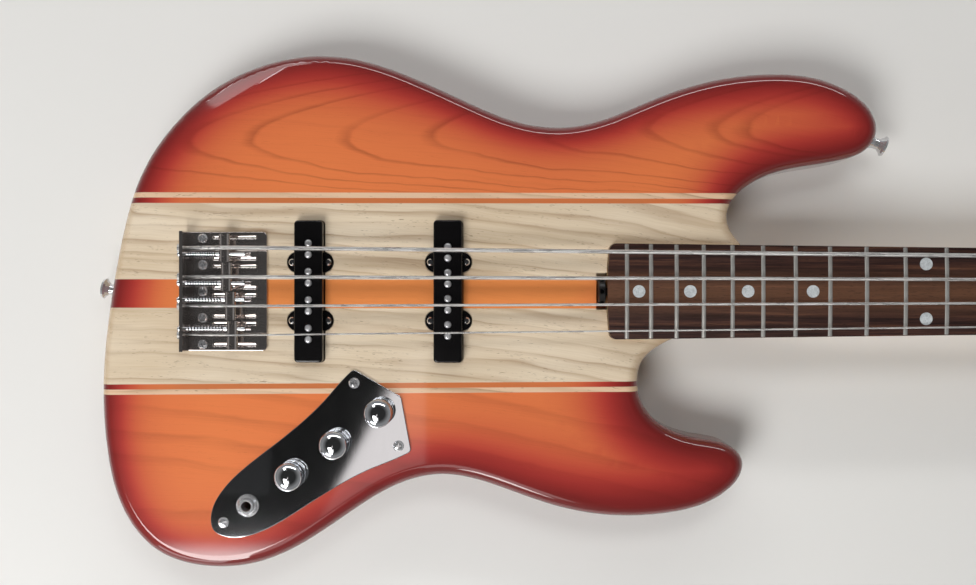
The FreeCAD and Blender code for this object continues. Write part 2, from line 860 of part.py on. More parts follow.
def headstock():
    outline = [(f"scale_length + head_length*({x})", f"head_width*({y})") for x, y in head_outline_shares]
    head = padded("headstock", outline, "head_thick", up * head_back)
    end = size.scale_length + size.head_length * head_outline_shares[0][0]

    def wanted(edge):
        return is_upright(edge) and edge.Vertexes[0].X > end + size.cut_overrun
    return rounded(head, "headstock_corner", "head_corner", wanted)


def string_fan(x, spread_index):
    # where a string lies across the neck at x, counted from the thickest string
    spread = size.bridge_spread + (size.nut_spread - size.bridge_spread) * x / size.scale_length
    return spread * (0.5 - spread_index / 3)


string_radii = [getattr(size, f"string_{letter}_radius") for letter in strings]
saddle_reaches = [getattr(size, f"saddle_{letter}_reach") for letter in strings]
post_turn = Rotation(up, -size.tuner_slant)


def winding_radius(index):
    return size.post_waist_radius + size.winding_gap + string_radii[index]


def post_place(index, z):
    x = size.scale_length + size.post_first + size.post_pitch * index
    return Vector(x, string_fan(x, index) + winding_radius(index), z)


post_places = [post_place(index, head_back) for index in range(4)]
retainer_x = size.scale_length + size.retainer_reach
retainer_place = Vector(retainer_x, (string_fan(retainer_x, 2) + string_fan(retainer_x, 3)) / 2, head_top)
plate_right = size.tuner_plate_width - size.tuner_plate_side
plate_low = -size.tuner_plate_length / 2
tuner_screw_spots = [
    Vector(x, y) for x in (-size.tuner_plate_side + size.tuner_screw_inset, plate_right - size.tuner_screw_inset)
    for y in (plate_low + size.tuner_screw_inset, -plate_low - size.tuner_screw_inset)]
upside_down = Rotation(along, 180)
tuner_screw_places = [
    Placement(place + post_turn.multVec(spot) - up * size.tuner_plate_thick, upside_down)
    for place in post_places for spot in tuner_screw_spots]
retainer_screw_place = Placement(retainer_place + up * (size.retainer_lift + size.retainer_thick), Rotation())


def neck_cuts():
    tools = [box("rod_channel", "scale_length - board_end - rod_nut_margin", "rod_width + 2*rod_gap",
                 "rod_depth + rod_gap + cut_overrun",
                 Vector(size.board_end - size.cut_overrun, -size.rod_width / 2 - size.rod_gap,
                        board_under - size.rod_gap - size.rod_depth))]
    for number, place in enumerate(neck_screw_places, start=1):
        start = Vector(place.x, place.y, size.body_thick - size.pocket_depth - size.cut_overrun)
        tools.append(cylinder(f"neck_pilot_{number}", "neck_screw_radius", "neck_screw_bite + cut_overrun", start))
    for number, place in enumerate(post_places, start=1):
        tools.append(cylinder(f"post_hole_{number}", "post_radius + pocket_gap", "head_thick + 2*cut_overrun",
                              place - up * size.cut_overrun))
        tools.append(cylinder(f"sleeve_hole_{number}", "ferrule_sleeve_radius", "ferrule_sleeve + cut_overrun",
                              Vector(place.x, place.y, head_top - size.ferrule_sleeve)))
    for number, place in enumerate(tuner_screw_places, start=1):
        tools.append(cylinder(f"tuner_pilot_{number}", "tuner_screw_radius", "tuner_screw_length", place.Base))
    tools.append(cylinder("retainer_pilot", "tuner_screw_radius", "tuner_screw_length",
                          retainer_screw_place.Base - up * size.tuner_screw_length))
    tools.append(box("nut_slot", "nut_length", "nut_width + 2*cut_overrun", "nut_seat + cut_overrun",
                     Vector(size.scale_length, -size.nut_width / 2 - size.cut_overrun, board_under - size.nut_seat)))
    return tools


neck_blank = joined("neck_blank", [shaped("neck_wood", neck_wood()), headstock()])
node("neck", cut("neck", neck_blank, neck_cuts()))


# Fretboard with its crowned face, fret slots and dot holes
crown_axis = Vector(0, 0, board_top - size.board_radius)


def crown_segment(x, profile, half_width):
    # a profile of (offset along X, height over the crown) swept over the crown about the board's long axis
    corners = [Vector(x + dx, 0, board_top + dz) for dx, dz in profile]
    face = Part.Face(Part.makePolygon(corners + corners[:1]))
    angle = math.degrees(math.asin(half_width / size.board_radius))
    face.rotate(crown_axis, along, -angle)
    return face.revolve(crown_axis, along, 2 * angle)


def fret_shape(number):
    x = fret_place(number)
    half, tang = size.fret_width / 2, size.tang_width / 2
    tall, deep = size.fret_height, size.tang_depth
    profile = [(-tang, -deep), (tang, -deep), (tang, 0), (half, 0), (half, tall * 0.35), (half * 0.62, tall * 0.86),
               (0, tall), (-half * 0.62, tall * 0.86), (-half, tall * 0.35), (-half, 0), (-tang, 0)]
    return crown_segment(x, profile, board_half_width(x) - size.fret_inset)


def slot_shape(number):
    x = fret_place(number)
    wide, deep = size.tang_width / 2 + size.tang_gap, size.tang_depth + size.tang_gap
    profile = [(-wide, -deep), (wide, -deep), (wide, size.cut_overrun), (-wide, size.cut_overrun)]
    return crown_segment(x, profile, board_half_width(x) + size.cut_overrun)


fret_numbers = range(1, int(size.fret_count) + 1)
single_dots = [n for n in fret_numbers if n % 12 in (3, 5, 7, 9)]
double_dots = [n for n in fret_numbers if n % 12 == 0]


def between_frets(number):
    return (fret_place(number) + fret_place(number - 1)) / 2


dot_spots = [Vector(between_frets(n), 0) for n in single_dots]
dot_spots += [Vector(between_frets(n), side * size.dot_pair_spread / 2) for n in double_dots for side in (-1, 1)]
side_dot_level = board_under + size.board_thick / 2
side_dot_spots = [Vector(between_frets(n), board_half_width(between_frets(n)), side_dot_level)
                  for n in single_dots + double_dots]


def dot_set(name, gap, level, extra):
    dots = [cylinder(f"{name}_{i}", f"dot_radius + {gap}", f"dot_depth + {extra}", spot + up * level)
            for i, spot in enumerate(dot_spots, start=1)]
    dots += [cylinder(f"{name}_side_{i}", f"side_dot_radius + {gap}", "side_dot_depth",
                      spot - across * (size.side_dot_depth - size.dot_gap), across)
             for i, spot in enumerate(side_dot_spots, start=1)]
    return dots


board_plan = neck_outline(size.scale_length, 0)
board_plan.translate(up * board_under)
board_blank = shaped("board_blank", board_plan.extrude(up * size.board_thick * 2))
crown = cylinder("board_crown", "board_radius", "scale_length", crown_axis, along)
crowned = doc.addObject("Part::Common", "crowned_board")
crowned.Base = board_blank
crowned.Tool = crown
dot_level = board_top - crown_drop(size.dot_pair_spread / 2) - size.dot_depth
slots = shaped("fret_slots", Part.makeCompound([slot_shape(n) for n in fret_numbers]))
node("fretboard", cut("fretboard", crowned, [slots] + dot_set("dot_hole", "dot_gap", dot_level, "cut_overrun")))
node("frets", shaped("frets", Part.makeCompound([fret_shape(n) for n in fret_numbers])))
flush = doc.addObject("Part::Common", "inlay_dots")
flush.Base = group("dot_blanks", dot_set("dot", "0", dot_level, "dot_depth"))
flush.Tool = cylinder("dot_crown", "board_radius", "scale_length", crown_axis, along)
node("inlay_dots", flush)


# Strings: straight runs with tangent bends, then turns on the tuning posts
def string_height(x, index):
    # centre height of a string between the nut and its saddle
    share = x / size.scale_length
    rise = size.string_rise_bridge + (size.string_rise_nut - size.string_rise_bridge) * share
    return board_top - crown_drop(string_fan(x, index)) + rise + string_radii[index]


def string_point(x, index):
    return Vector(x, string_fan(x, index), string_height(x, index))


def bent_path(points, radius):
    # straight runs joined by tangent arcs
    edges = []
    here = points[0]
    for before, corner, after in zip(points, points[1:], points[2:]):
        into, out = (corner - before).normalize(), (after - corner).normalize()
        turn = into.getAngle(out)
        trim = radius * math.tan(turn / 2)
        first, last = corner - into * trim, corner + out * trim
        inward = (out - into).normalize()
        middle = corner + inward * (radius / math.cos(turn / 2) - radius)
        edges.append(Part.LineSegment(here, first).toShape())
        edges.append(Part.Arc(first, middle, last).toShape())
        here = last
    edges.append(Part.LineSegment(here, points[-1]).toShape())
    return edges


def arc_towards(start, way, end):
    # the arc that leaves start along way and reaches end
    chord = end - start
    half = way.getAngle(chord)
    control = start + way * (chord.Length / 2 / math.cos(half))
    middle = (start + end) / 2
    lift = chord.Length / 2 * math.tan(half / 2)
    return Part.Arc(start, middle + (control - middle).normalize() * lift, end).toShape()


def biarc(start, way_out, end, way_in):
    # two arcs that meet on one tangent
    span = end - start
    ways = way_out + way_in
    square = 2 * (1 - way_out.dot(way_in))
    reach = span.dot(ways)
    length = (-reach + math.sqrt(reach**2 + square * span.dot(span))) / square
    middle = (start + way_out * length + end - way_in * length) / 2
    first = arc_towards(start, way_out, middle)
    return [first, arc_towards(middle, first.tangentAt(first.LastParameter), end)]


def turns(place, radius, pitch, count, start_angle, way):
    # quarter turns of a helix about Z through a place, as points and tangents
    marks = []
    for step in range(int(round(count * 4)) + 1):
        angle = start_angle + way * step * math.pi / 2
        point = place + Vector(radius * math.cos(angle), radius * math.sin(angle), pitch * step / 4)
        tangent = Vector(-way * math.sin(angle), way * math.cos(angle), pitch / (2 * math.pi * radius)).normalize()
        marks.append((point, tangent))
    return marks


def coil_edges(marks):
    return [edge for (p, t), (q, u) in zip(marks, marks[1:]) for edge in biarc(p, t, q, u)]


def least_self_gap(edges, wire_radius, apart):
    # least clear distance between stretches of one tube that are further apart along it than the given length
    points, run = [], 0.0
    for edge in edges:
        for spot in edge.discretize(5)[1:]:
            if points:
                run += (spot - points[-1][0]).Length
            points.append((spot, run))
    least = min((p - q).Length for i, (p, s) in enumerate(points) for q, t in points[i + 1:] if t - s > apart)
    return least - 2 * wire_radius


def tube(edges, radius):
    path = Part.Wire(edges)
    first = edges[0]
    start, way = first.valueAt(first.FirstParameter), first.tangentAt(first.FirstParameter)
    ring = Part.Wire([Part.Circle(start, way, radius).toShape()])
    return path.makePipeShell([ring], True, False)


winding_counts = {"e": 2.5, "a": 3.0, "d": 3.5, "g": 3.5}
wall_back = bridge_back
wall_front = bridge_back + size.bridge_wall


def string_wall_point(index, x):
    return Vector(x, string_fan(saddle_reaches[index], index), size.body_thick + size.string_hole_height)


def string_edges(index, letter):
    radius = string_radii[index]
    post = post_place(index, head_top + size.winding_lift)
    pitch = 2 * radius + size.winding_turn_gap
    marks = turns(post, winding_radius(index), pitch, winding_counts[letter], -math.pi / 2, 1)
    end_way = marks[-1][1]
    lead = marks[0][0] - marks[0][1] * size.winding_lead
    saddle = string_point(saddle_reaches[index], index)
    points = [string_wall_point(index, wall_back), string_wall_point(index, wall_front), saddle,
              string_point(nut_back, index)]
    if letter in "dg":
        low = head_top + size.retainer_lift - radius - size.slot_gap
        for x in (retainer_x - size.retainer_radius, retainer_x + size.retainer_radius):
            points.append(Vector(x, string_fan(x, index), low))
    points += [lead, marks[0][0]]
    coil = coil_edges(marks)
    tail = Part.LineSegment(marks[-1][0], marks[-1][0] + end_way * radius * 2).toShape()
    gap = least_self_gap(coil, radius, winding_radius(index) * math.pi)
    print(f"string {letter}: turns clear each other by {gap:.2f} mm")
    return bent_path(points, size.string_bend_radius) + coil + [tail]


def string_ball(index):
    seat = string_wall_point(index, wall_back)
    return Part.makeCylinder(size.ball_radius, size.ball_length, seat - along * size.ball_length, along)


for index, letter in enumerate(strings):
    edges = string_edges(index, letter)
    wound = tube(edges, string_radii[index])
    length = sum(edge.Length for edge in edges)
    share = wound.Volume / (math.pi * string_radii[index] ** 2 * length)
    print(f"string {letter}: {length:.1f} mm long, volume over section times length {share:.4f}")
    node(f"string_{letter}", shaped(f"string_{letter}", Part.makeCompound([wound, string_ball(index)])))


# Nut, with a slot under each string
def nut_shape():
    top = board_top + size.string_rise_nut + size.nut_crown
    base = board_under - size.nut_seat
    blank = Part.makeBox(size.nut_length, size.nut_width, top - base,
                         Vector(size.scale_length, -size.nut_width / 2, base))
    radius = size.board_radius + top - board_top
    blank = blank.common(Part.makeCylinder(radius, size.scale_length * 2, crown_axis, along))
    for index, radius in enumerate(string_radii):
        middle = string_point(size.scale_length, index)
        width = 2 * (radius + size.slot_gap)
        slot = Part.makeBox(size.nut_length * 3, width, size.board_thick,
                            Vector(size.scale_length - size.nut_length, middle.y - width / 2,
                                   string_height(nut_back, index) - radius - size.slot_gap))
        blank = blank.cut(slot)
    return blank


node("nut", shaped("nut", nut_shape()))


# Truss rod with its adjusting wheel at the body end
rod_start = size.board_end + size.rod_heel_margin
wheel_start = size.board_end - size.wheel_end_gap - size.wheel_length
rod_bar = box("rod_bar", "scale_length - board_end - rod_nut_margin - 2*rod_heel_margin", "rod_width", "rod_depth",
              Vector(rod_start, -size.rod_width / 2, rod_level - size.rod_depth / 2))
spindle = cylinder("rod_spindle", "spindle_radius", "wheel_length + wheel_end_gap + 2*rod_heel_margin",
                   Vector(wheel_start, 0, rod_level), along)
node("truss_rod", joined("truss_rod", [rod_bar, spindle]))
wheel_disc = turned("wheel_disc", [
    ("spindle_radius + running_gap", "0"), ("wheel_radius*0.86", "0"), ("wheel_radius", "wheel_length*0.16"),
    ("wheel_radius", "wheel_length*0.84"), ("wheel_radius*0.86", "wheel_length"),
    ("spindle_radius + running_gap", "wheel_length")], Vector(wheel_start, 0, rod_level), along)
wheel_middle = Vector(wheel_start + size.wheel_length / 2, 0, rod_level)
wheel_holes = []
for step in range(6):
    out = Rotation(along, step * 60).multVec(up)
    start = wheel_middle + out * (size.spindle_radius + size.running_gap * 2 + size.wheel_hole_radius / 2)
    wheel_holes.append(cylinder(f"wheel_hole_{step}", "wheel_hole_radius", "wheel_radius", start, out))
node("truss_wheel", cut("truss_wheel", wheel_disc, wheel_holes))

# Neck plate let into the back, and the screws that hold the neck
plate_spot = Vector(size.board_end + size.neck_plate_centre, 0, size.neck_plate_gap)
neck_plate = rounded(padded("neck_plate_blank", rectangle("neck_plate_length", "neck_plate_width"),
                            "neck_plate_thick", plate_spot), "neck_plate_corner_round", "neck_plate_corner", is_upright)
sinks = [turned(f"neck_plate_hole_{number}", [
    ("0", "0"), ("neck_screw_head_radius", "0"), ("neck_screw_radius", "neck_screw_head"),
    ("neck_screw_radius", "neck_plate_thick + cut_overrun"), ("0", "neck_plate_thick + cut_overrun")], place)
    for number, place in enumerate(neck_screw_places, start=1)]
node("neck_plate", cut("neck_plate", neck_plate, sinks))
neck_screw = turned("neck_screw", [
    ("0", "0"), ("neck_screw_head_radius", "0"), ("neck_screw_radius", "neck_screw_head"),
    ("neck_screw_radius", "body_thick - pocket_depth + neck_screw_bite - neck_plate_gap - 2*neck_screw_radius"),
    ("0", "body_thick - pocket_depth + neck_screw_bite - neck_plate_gap")])
neck_screw = crossed("neck_screw", neck_screw, "neck_screw_head_radius", 0)
node("neck_screws", copies("neck_screws", neck_screw, [Placement(p, Rotation()) for p in neck_screw_places]))

# Strap buttons and their screws
button = turned("strap_button", [
    ("button_screw_radius", "0"), ("button_base_radius", "0"), ("button_base_radius*0.92", "button_rim*0.6"),
    ("button_waist_radius", "button_height*0.35"), ("button_waist_radius", "button_height*0.6"),
    ("button_head_radius*0.8", "button_height*0.8"), ("button_head_radius", "button_height - button_rim*0.6"),
    ("button_head_radius*0.94", "button_height"), ("button_screw_head_radius", "button_height"),
    ("button_screw_radius", "button_height - button_screw_head")])
button_screw = turned("button_screw", [
    ("0", "0"), ("button_screw_radius", "2*button_screw_radius"),
    ("button_screw_radius", "button_screw_length - cut_overrun + button_height - button_screw_head"),
    ("button_screw_head_radius", "button_screw_length - cut_overrun + button_height"),
    ("0", "button_screw_length - cut_overrun + button_height")])
node("strap_buttons", copies("strap_buttons", button, [Placement(p, facing(out)) for p, out in button_places]))
button_screw = crossed("button_screw", button_screw, "button_screw_head_radius",
                       size.button_screw_length - size.cut_overrun + size.button_height)
node("strap_button_screws", copies("strap_button_screws", button_screw, [
    Placement(p - out * (size.button_screw_length - size.cut_overrun), facing(out)) for p, out in button_places]))

# Bridge: plate with a bent-up wall, screws, saddles, springs and intonation screws
bridge_floor = size.body_thick + size.bridge_base
saddle_levels = [string_height(x, i) - string_radii[i] + size.saddle_notch - size.saddle_radius
                 for i, x in enumerate(saddle_reaches)]
saddle_places = [Vector(x, string_fan(x, i), saddle_levels[i]) for i, x in enumerate(saddle_reaches)]
# the intonation screws stand on the inner side of the outer strings
intonation_sides = (-1, -1, 1, 1)
intonation_lines = [Vector(wall_back, place.y + side * size.intonation_offset, place.z)
                    for place, side in zip(saddle_places, intonation_sides)]
height_screw_spots = [place + across * side * size.height_screw_offset
                      for place in saddle_places for side in (-1, 1)]


def bridge_tools():
    tools = []
    for number, place in enumerate(bridge_screw_places, start=1):
        tools.append(cylinder(f"bridge_hole_{number}", "bridge_screw_radius", "bridge_base + 2*cut_overrun",
                              place - up * (size.bridge_base + size.cut_overrun)))
    bend = "(groove_width*groove_width/4 + groove_depth*groove_depth)/(2*groove_depth)"
    sink = (size.groove_width ** 2 / 4 + size.groove_depth ** 2) / (2 * size.groove_depth) - size.groove_depth
    for number, spot in enumerate(height_screw_spots, start=1):
        # a round-bottomed groove with round ends
        front = Vector(size.bridge_front - size.groove_front - size.groove_width / 2, spot.y, bridge_floor + sink)
        back = front - along * (size.groove_length - size.groove_width)
        tools.append(cylinder(f"groove_{number}", bend, "groove_length - groove_width", back, along))
        tools.append(ball(f"groove_{number}_front", bend, front))
        tools.append(ball(f"groove_{number}_back", bend, back))
    for index in range(4):
        back = along * size.cut_overrun
        tools.append(cylinder(f"string_hole_{index}", "string_hole_radius", "bridge_wall + 2*cut_overrun",
                              string_wall_point(index, wall_back) - back, along))
        tools.append(cylinder(f"intonation_hole_{index}", "intonation_radius + intonation_hole_gap",
                              "bridge_wall + 2*cut_overrun", intonation_lines[index] - back, along))
    return tools


bridge_base = rounded(padded("bridge_base", [
    ("bridge_front - bridge_length", "-bridge_width/2"), ("bridge_front", "-bridge_width/2"),
    ("bridge_front", "bridge_width/2"), ("bridge_front - bridge_length", "bridge_width/2")],
    "bridge_base", up * size.body_thick), "bridge_corner_round", "bridge_corner",
    lambda edge: is_upright(edge) and edge.Vertexes[0].X > 0)
rounded(bridge_base, "bridge_edge_round", "bridge_edge", lambda edge: edge.BoundBox.ZMin > size.bridge_base / 2
        and edge.BoundBox.XMax > bridge_back + size.bridge_wall)
bridge_wall = box("bridge_back_wall", "bridge_wall", "bridge_width", "bridge_height",
                  Vector(bridge_back, -size.bridge_width / 2, size.body_thick))
bridge_blank = joined("bridge_blank", [bridge_base, bridge_wall])
node("bridge_plate", cut("bridge_plate", bridge_blank, bridge_tools()))
bridge_screw = screw("bridge_screw", "bridge_screw_radius", "bridge_screw_head_radius", "bridge_screw_head",
                     "bridge_screw_length")
node("bridge_screws", copies("bridge_screws", bridge_screw, [Placement(p, Rotation()) for p in bridge_screw_places]))


def saddle(index, letter):
    place = saddle_places[index]
    start = place - across * size.saddle_length / 2
    barrel = cylinder(f"saddle_{letter}_barrel", "saddle_radius", "saddle_length", start, across)
    screw_line = Vector(place.x - size.saddle_radius * 2, intonation_lines[index].y, place.z)
    radius = f"string_{letter}_radius + saddle_notch_gap"
    dip = string_wall_point(index, wall_back) - string_point(saddle_reaches[index], index)
    peak = string_point(saddle_reaches[index], index)
    tools = [
        cylinder(f"saddle_{letter}_thread", "intonation_radius + running_gap", "4*saddle_radius", screw_line, along),
        cylinder(f"saddle_{letter}_front_notch", radius, "2*saddle_radius", peak, along),
        cylinder(f"saddle_{letter}_back_notch", radius, "2*saddle_radius", peak, dip),
    ]
    screws = []
    foot = bridge_floor - size.groove_depth + size.saddle_seat_gap
    for number, side in enumerate((-1, 1)):
        spot = Vector(place.x, place.y + side * size.height_screw_offset, foot)
        length = place.z + size.saddle_radius - size.height_screw_sink - foot
        tools.append(cylinder(f"saddle_{letter}_height_hole_{number}", "height_screw_radius", "6*saddle_radius", spot))
        screws.append(turned(f"saddle_{letter}_height_screw_{number}", [
            ("0", "0"), ("height_screw_tip", "0"), ("height_screw_radius", "height_screw_point"),
            ("height_screw_radius", f"{length:.6f}"), ("0", f"{length:.6f}")], spot))
    return group(f"saddle_{letter}", [cut(f"saddle_{letter}_body", barrel, tools)] + screws)


def intonation_screw(index, letter):
    name = f"intonation_screw_{letter}"
    blank = turned(name + "_blank", [
        ("0", "-intonation_head"), ("intonation_head_radius*0.7", "-intonation_head"),
        ("intonation_head_radius", "-intonation_head*0.5"), ("intonation_head_radius", "0"),
        ("intonation_radius", "0"), ("intonation_radius", "intonation_reach - bridge_front + bridge_length"),
        ("0", "intonation_reach - bridge_front + bridge_length")])
    piece = crossed(name, blank, "intonation_head_radius", -size.intonation_head)
    piece.Placement = Placement(intonation_lines[index] - along * size.intonation_head_gap, facing(along))
    return piece


def spring_edges(index):
    # a coil spring along X whose end turns run straight into their seats
    start = wall_front + size.spring_end_gap
    end = saddle_places[index].x - size.saddle_radius - size.spring_end_gap
    radius, lead = size.spring_radius, 2 * size.spring_wire_radius
    count = size.spring_turns
    bend = size.spring_wire_radius * 3
    pitch = (end - start - 2 * lead - 2 * bend) / count
    centre = Vector(0, 0, start + lead + bend)
    marks = turns(centre, radius, pitch, count, 0, 1)
    first, first_way = marks[0]
    last, last_way = marks[-1]
    straight_in = Vector(first.x, first.y - bend, first.z - bend - lead)
    turn_in = Vector(first.x, first.y - bend, first.z - bend)
    straight_out = Vector(last.x, last.y + bend, last.z + bend + lead)
    turn_out = Vector(last.x, last.y + bend, last.z + bend)
    edges = [Part.LineSegment(straight_in, turn_in).toShape()]
    edges += biarc(turn_in, up, first, first_way)
    edges += coil_edges(marks)
    edges += biarc(last, last_way, turn_out, up)
    edges.append(Part.LineSegment(turn_out, straight_out).toShape())
    return edges


spring_solids = []
for index, letter in enumerate(strings):
    edges = spring_edges(index)
    gap = least_self_gap(edges, size.spring_wire_radius, size.spring_radius * math.pi)
    print(f"spring {letter}: turns clear each other by {gap:.2f} mm")
    coil = tube(edges, size.spring_wire_radius)
    line = intonation_lines[index]
    coil.Placement = Placement(Vector(0, line.y, line.z), facing(along))
    spring_solids.append(coil)
    node(f"saddle_{letter}", saddle(index, letter))
    node(f"intonation_screw_{letter}", intonation_screw(index, letter))
node("intonation_springs", shaped("intonation_springs", Part.makeCompound(spring_solids)))


# Pickups: cover with ears, coil and flatwork, pole pieces, ear screws
cover_top = size.body_thick + size.pickup_rise
cover_low = cover_top - size.pickup_height
ear_top = size.body_thick + size.ear_rise


def pole_spots(name):
    x = pickups[name]
    return [Vector(x, pole_spacings[name] * (1.5 - pair) + side * size.pole_pitch / 2)
            for pair in range(4) for side in (1, -1)]


def pickup_cover(name):
    x = pickups[name]
    shell = padded(f"{name}_block", rectangle("pickup_width", "pickup_length"), "pickup_height",
                   Vector(x, 0, cover_low))
    rounded(shell, f"{name}_corner_round", "pickup_corner", is_upright)
    rounded(shell, f"{name}_edge_round", "pickup_edge",
            lambda edge: edge.BoundBox.ZMin > size.pickup_height - size.pickup_edge)
    ears = [cylinder(f"{name}_ear_{sx}_{sy}", "ear_radius", "ear_thick",
                     Vector(x + sx * ear_centre, sy * size.ear_offset, ear_top - size.ear_thick))
            for sx, sy in ear_sides]
    inner = Vector(x - size.pickup_width / 2 + size.pickup_wall, -size.pickup_length / 2 + size.pickup_wall,
                   cover_low - size.cut_overrun)
    tools = [box(f"{name}_hollow", "pickup_width - 2*pickup_wall", "pickup_length - 2*pickup_wall",
                 "pickup_height - pickup_wall + cut_overrun", inner)]
    for number, spot in enumerate(pole_spots(name), start=1):
        tools.append(cylinder(f"{name}_pole_hole_{number}", "pole_radius + pole_gap", "pickup_height",
                              spot + up * (cover_top - size.pickup_height / 2)))
    for sx, sy in ear_sides:
        tools.append(cylinder(f"{name}_ear_hole_{sx}_{sy}", "pickup_screw_radius", "ear_thick + 2*cut_overrun",
                              Vector(x + sx * size.ear_screw_reach, sy * size.ear_offset,
                                     ear_top - size.ear_thick - size.cut_overrun)))
    return cut(f"{name}_cover", joined(f"{name}_outer", [shell] + ears), tools)


def pickup_coil(name):
    # wire wound round the poles, between two flat fibre boards
    x = pickups[name]
    upper = cover_top - size.pickup_wall - size.flatwork_margin - size.flatwork_thick
    lower = cover_low + size.flatwork_margin
    boards = []
    for number, level in enumerate((upper, lower)):
        blank = box(f"{name}_flatwork_{number}", "pickup_width - 2*pickup_wall - 2*flatwork_margin",
                    "pickup_length - 2*pickup_wall - 2*flatwork_margin", "flatwork_thick",
                    Vector(x - size.pickup_width / 2 + size.pickup_wall + size.flatwork_margin,
                           -size.pickup_length / 2 + size.pickup_wall + size.flatwork_margin, level))
        holes = [cylinder(f"{name}_flatwork_{number}_hole_{i}", "pole_radius", "flatwork_thick + 2*cut_overrun",
                          spot + up * (level - size.cut_overrun)) for i, spot in enumerate(pole_spots(name))]
        boards.append(cut(f"{name}_flatwork_{number}_board", blank, holes))
    gap_height = "pickup_height - pickup_wall - 2*flatwork_margin - 2*flatwork_thick"
    coil_base = lower + size.flatwork_thick
    outer = rounded(padded(f"{name}_wire_block", rectangle("coil_width", "coil_length"), gap_height,
                           Vector(x, 0, coil_base)), f"{name}_wire_round", "coil_width*0.4", is_upright)
    slot = box(f"{name}_wire_slot", "2*pole_radius + 2*coil_slot_margin",
               f"3*{name.split('_')[0]}_pole_spacing + pole_pitch + 2*pole_radius + 2*coil_slot_margin",
               "pickup_height", Vector(x - size.pole_radius - size.coil_slot_margin,
                                       -1.5 * pole_spacings[name] - size.pole_pitch / 2 - size.pole_radius
                                       - size.coil_slot_margin, coil_base - size.flatwork_thick))
    return group(f"{name}_coil", boards + [cut(f"{name}_wire", outer, [slot])])


foam_pads = []
for name, x in pickups.items():
    node(f"{name}_cover", pickup_cover(name))
    node(f"{name}_coil", pickup_coil(name))
    pole = rounded(turned(f"{name}_pole", [
        ("0", "0"), ("pole_radius", "0"), ("pole_radius", "pickup_height + pole_rise"),
        ("0", "pickup_height + pole_rise")]), f"{name}_pole_round", "pole_round",
        lambda edge: edge.BoundBox.ZMin > size.pickup_height)
    node(f"{name}_poles", copies(f"{name}_poles", pole, [Placement(spot + up * cover_low, Rotation())
                                                         for spot in pole_spots(name)]))
    pin = screw(f"{name}_screw", "pickup_screw_radius", "pickup_screw_head_radius", "pickup_screw_head",
                "pickup_screw_length")
    node(f"{name}_screws", copies(f"{name}_screws", pin, [
        Placement(Vector(x + sx * size.ear_screw_reach, sy * size.ear_offset, ear_top), Rotation())
        for sx, sy in ear_sides]))
    floor = size.body_thick - size.pickup_rout
    foam_pads.append(box(f"{name}_foam", "foam_width", "foam_length",
                         "pickup_rout + pickup_rise - pickup_height - foam_gap",
                         Vector(x - size.foam_width / 2, -size.foam_length / 2, floor)))
node("pickup_foam", group("pickup_foam", foam_pads))


# Control plate: half outline as shares of its length from the tail and of its half width
plate_half_shares = [(0.008, 0.13), (0.048, 0.35), (0.128, 0.535), (0.28, 0.655), (0.45, 0.69), (0.607, 0.745),
                     (0.716, 0.825), (0.797, 0.915), (0.900, 1.0)]


def plate_blank():
    half = size.plate_width / 2
    upper = [Vector(size.plate_length * u - size.plate_tail, half * v) for u, v in plate_half_shares]
    lower = [Vector(p.x, -p.y) for p in reversed(upper)]
    side = Part.BSplineCurve()
    side.interpolate(lower + [Vector(-size.plate_tail, 0)] + upper)
    tip = Vector(size.plate_length - size.plate_tail, 0)
    edges = [side, Part.LineSegment(upper[-1], tip), Part.LineSegment(tip, lower[0])]
    plate = Part.Face(Part.Wire([edge.toShape() for edge in edges])).extrude(up * size.plate_thick)
    plate = plate.makeFillet(size.plate_corner, [edge for edge in plate.Edges if is_upright(edge)])
    return plate.makeFillet(size.plate_edge, [edge for edge in plate.Edges
                                              if edge.BoundBox.ZMin > size.plate_thick / 2])


plate = shaped("control_plate_blank", plate_blank(), jack_place, control_turn)
plate_holes = [cylinder(f"bush_hole_{i}", "bush_radius + bush_gap", "plate_thick + 2*cut_overrun",
                        place - up * size.cut_overrun) for i, place in enumerate([jack_place] + pot_places)]
plate_holes += [cylinder(f"plate_screw_hole_{i}", "plate_screw_radius", "plate_thick + 2*cut_overrun",
                         place - up * size.cut_overrun) for i, place in enumerate(plate_screw_places)]
node("control_plate", cut("control_plate", plate, plate_holes))
plate_screw = screw("plate_screw", "plate_screw_radius", "plate_screw_head_radius", "plate_screw_head",
                    "plate_screw_length")
node("control_plate_screws", copies("control_plate_screws", plate_screw, [
    Placement(place + up * size.plate_thick, Rotation()) for place in plate_screw_places]))

# Potentiometers hang under the plate by their bushes: case and bush with lugs fixed, shaft turning
pot_case = turned("pot_case", [
    ("0", "-pot_height"), ("pot_radius", "-pot_height"), ("pot_radius", "0"), ("bush_radius", "0"),
    ("bush_radius", "plate_thick + bush_rise"), ("pot_shaft_radius + running_gap", "plate_thick + bush_rise"),
    ("pot_shaft_radius + running_gap", "-pot_skin"), ("pot_radius - pot_skin", "-pot_skin"),
    ("pot_radius - pot_skin", "pot_skin - pot_height"), ("0", "pot_skin - pot_height")])
lugs = [box(f"pot_lug_{k}", "lug_length", "lug_width", "pot_skin",
            Vector(size.pot_radius, k * size.lug_pitch - size.lug_width / 2, size.pot_skin * 2 - size.pot_height))
        for k in (-1, 0, 1)]
pot = group("pot", [pot_case] + lugs)
lug_turn = Rotation(up, size.control_angle + 180)
node("potentiometers", copies("potentiometers", pot, [Placement(p, lug_turn) for p in pot_places]))
control_spots = pot_places + [jack_place]
washer = turned("control_washer", [
    ("bush_radius + bush_gap", "0"), ("washer_radius", "0"), ("washer_radius", "washer_thick"),
    ("bush_radius + bush_gap", "washer_thick")])
hex_corner_share = 1 / math.cos(math.pi / 6)
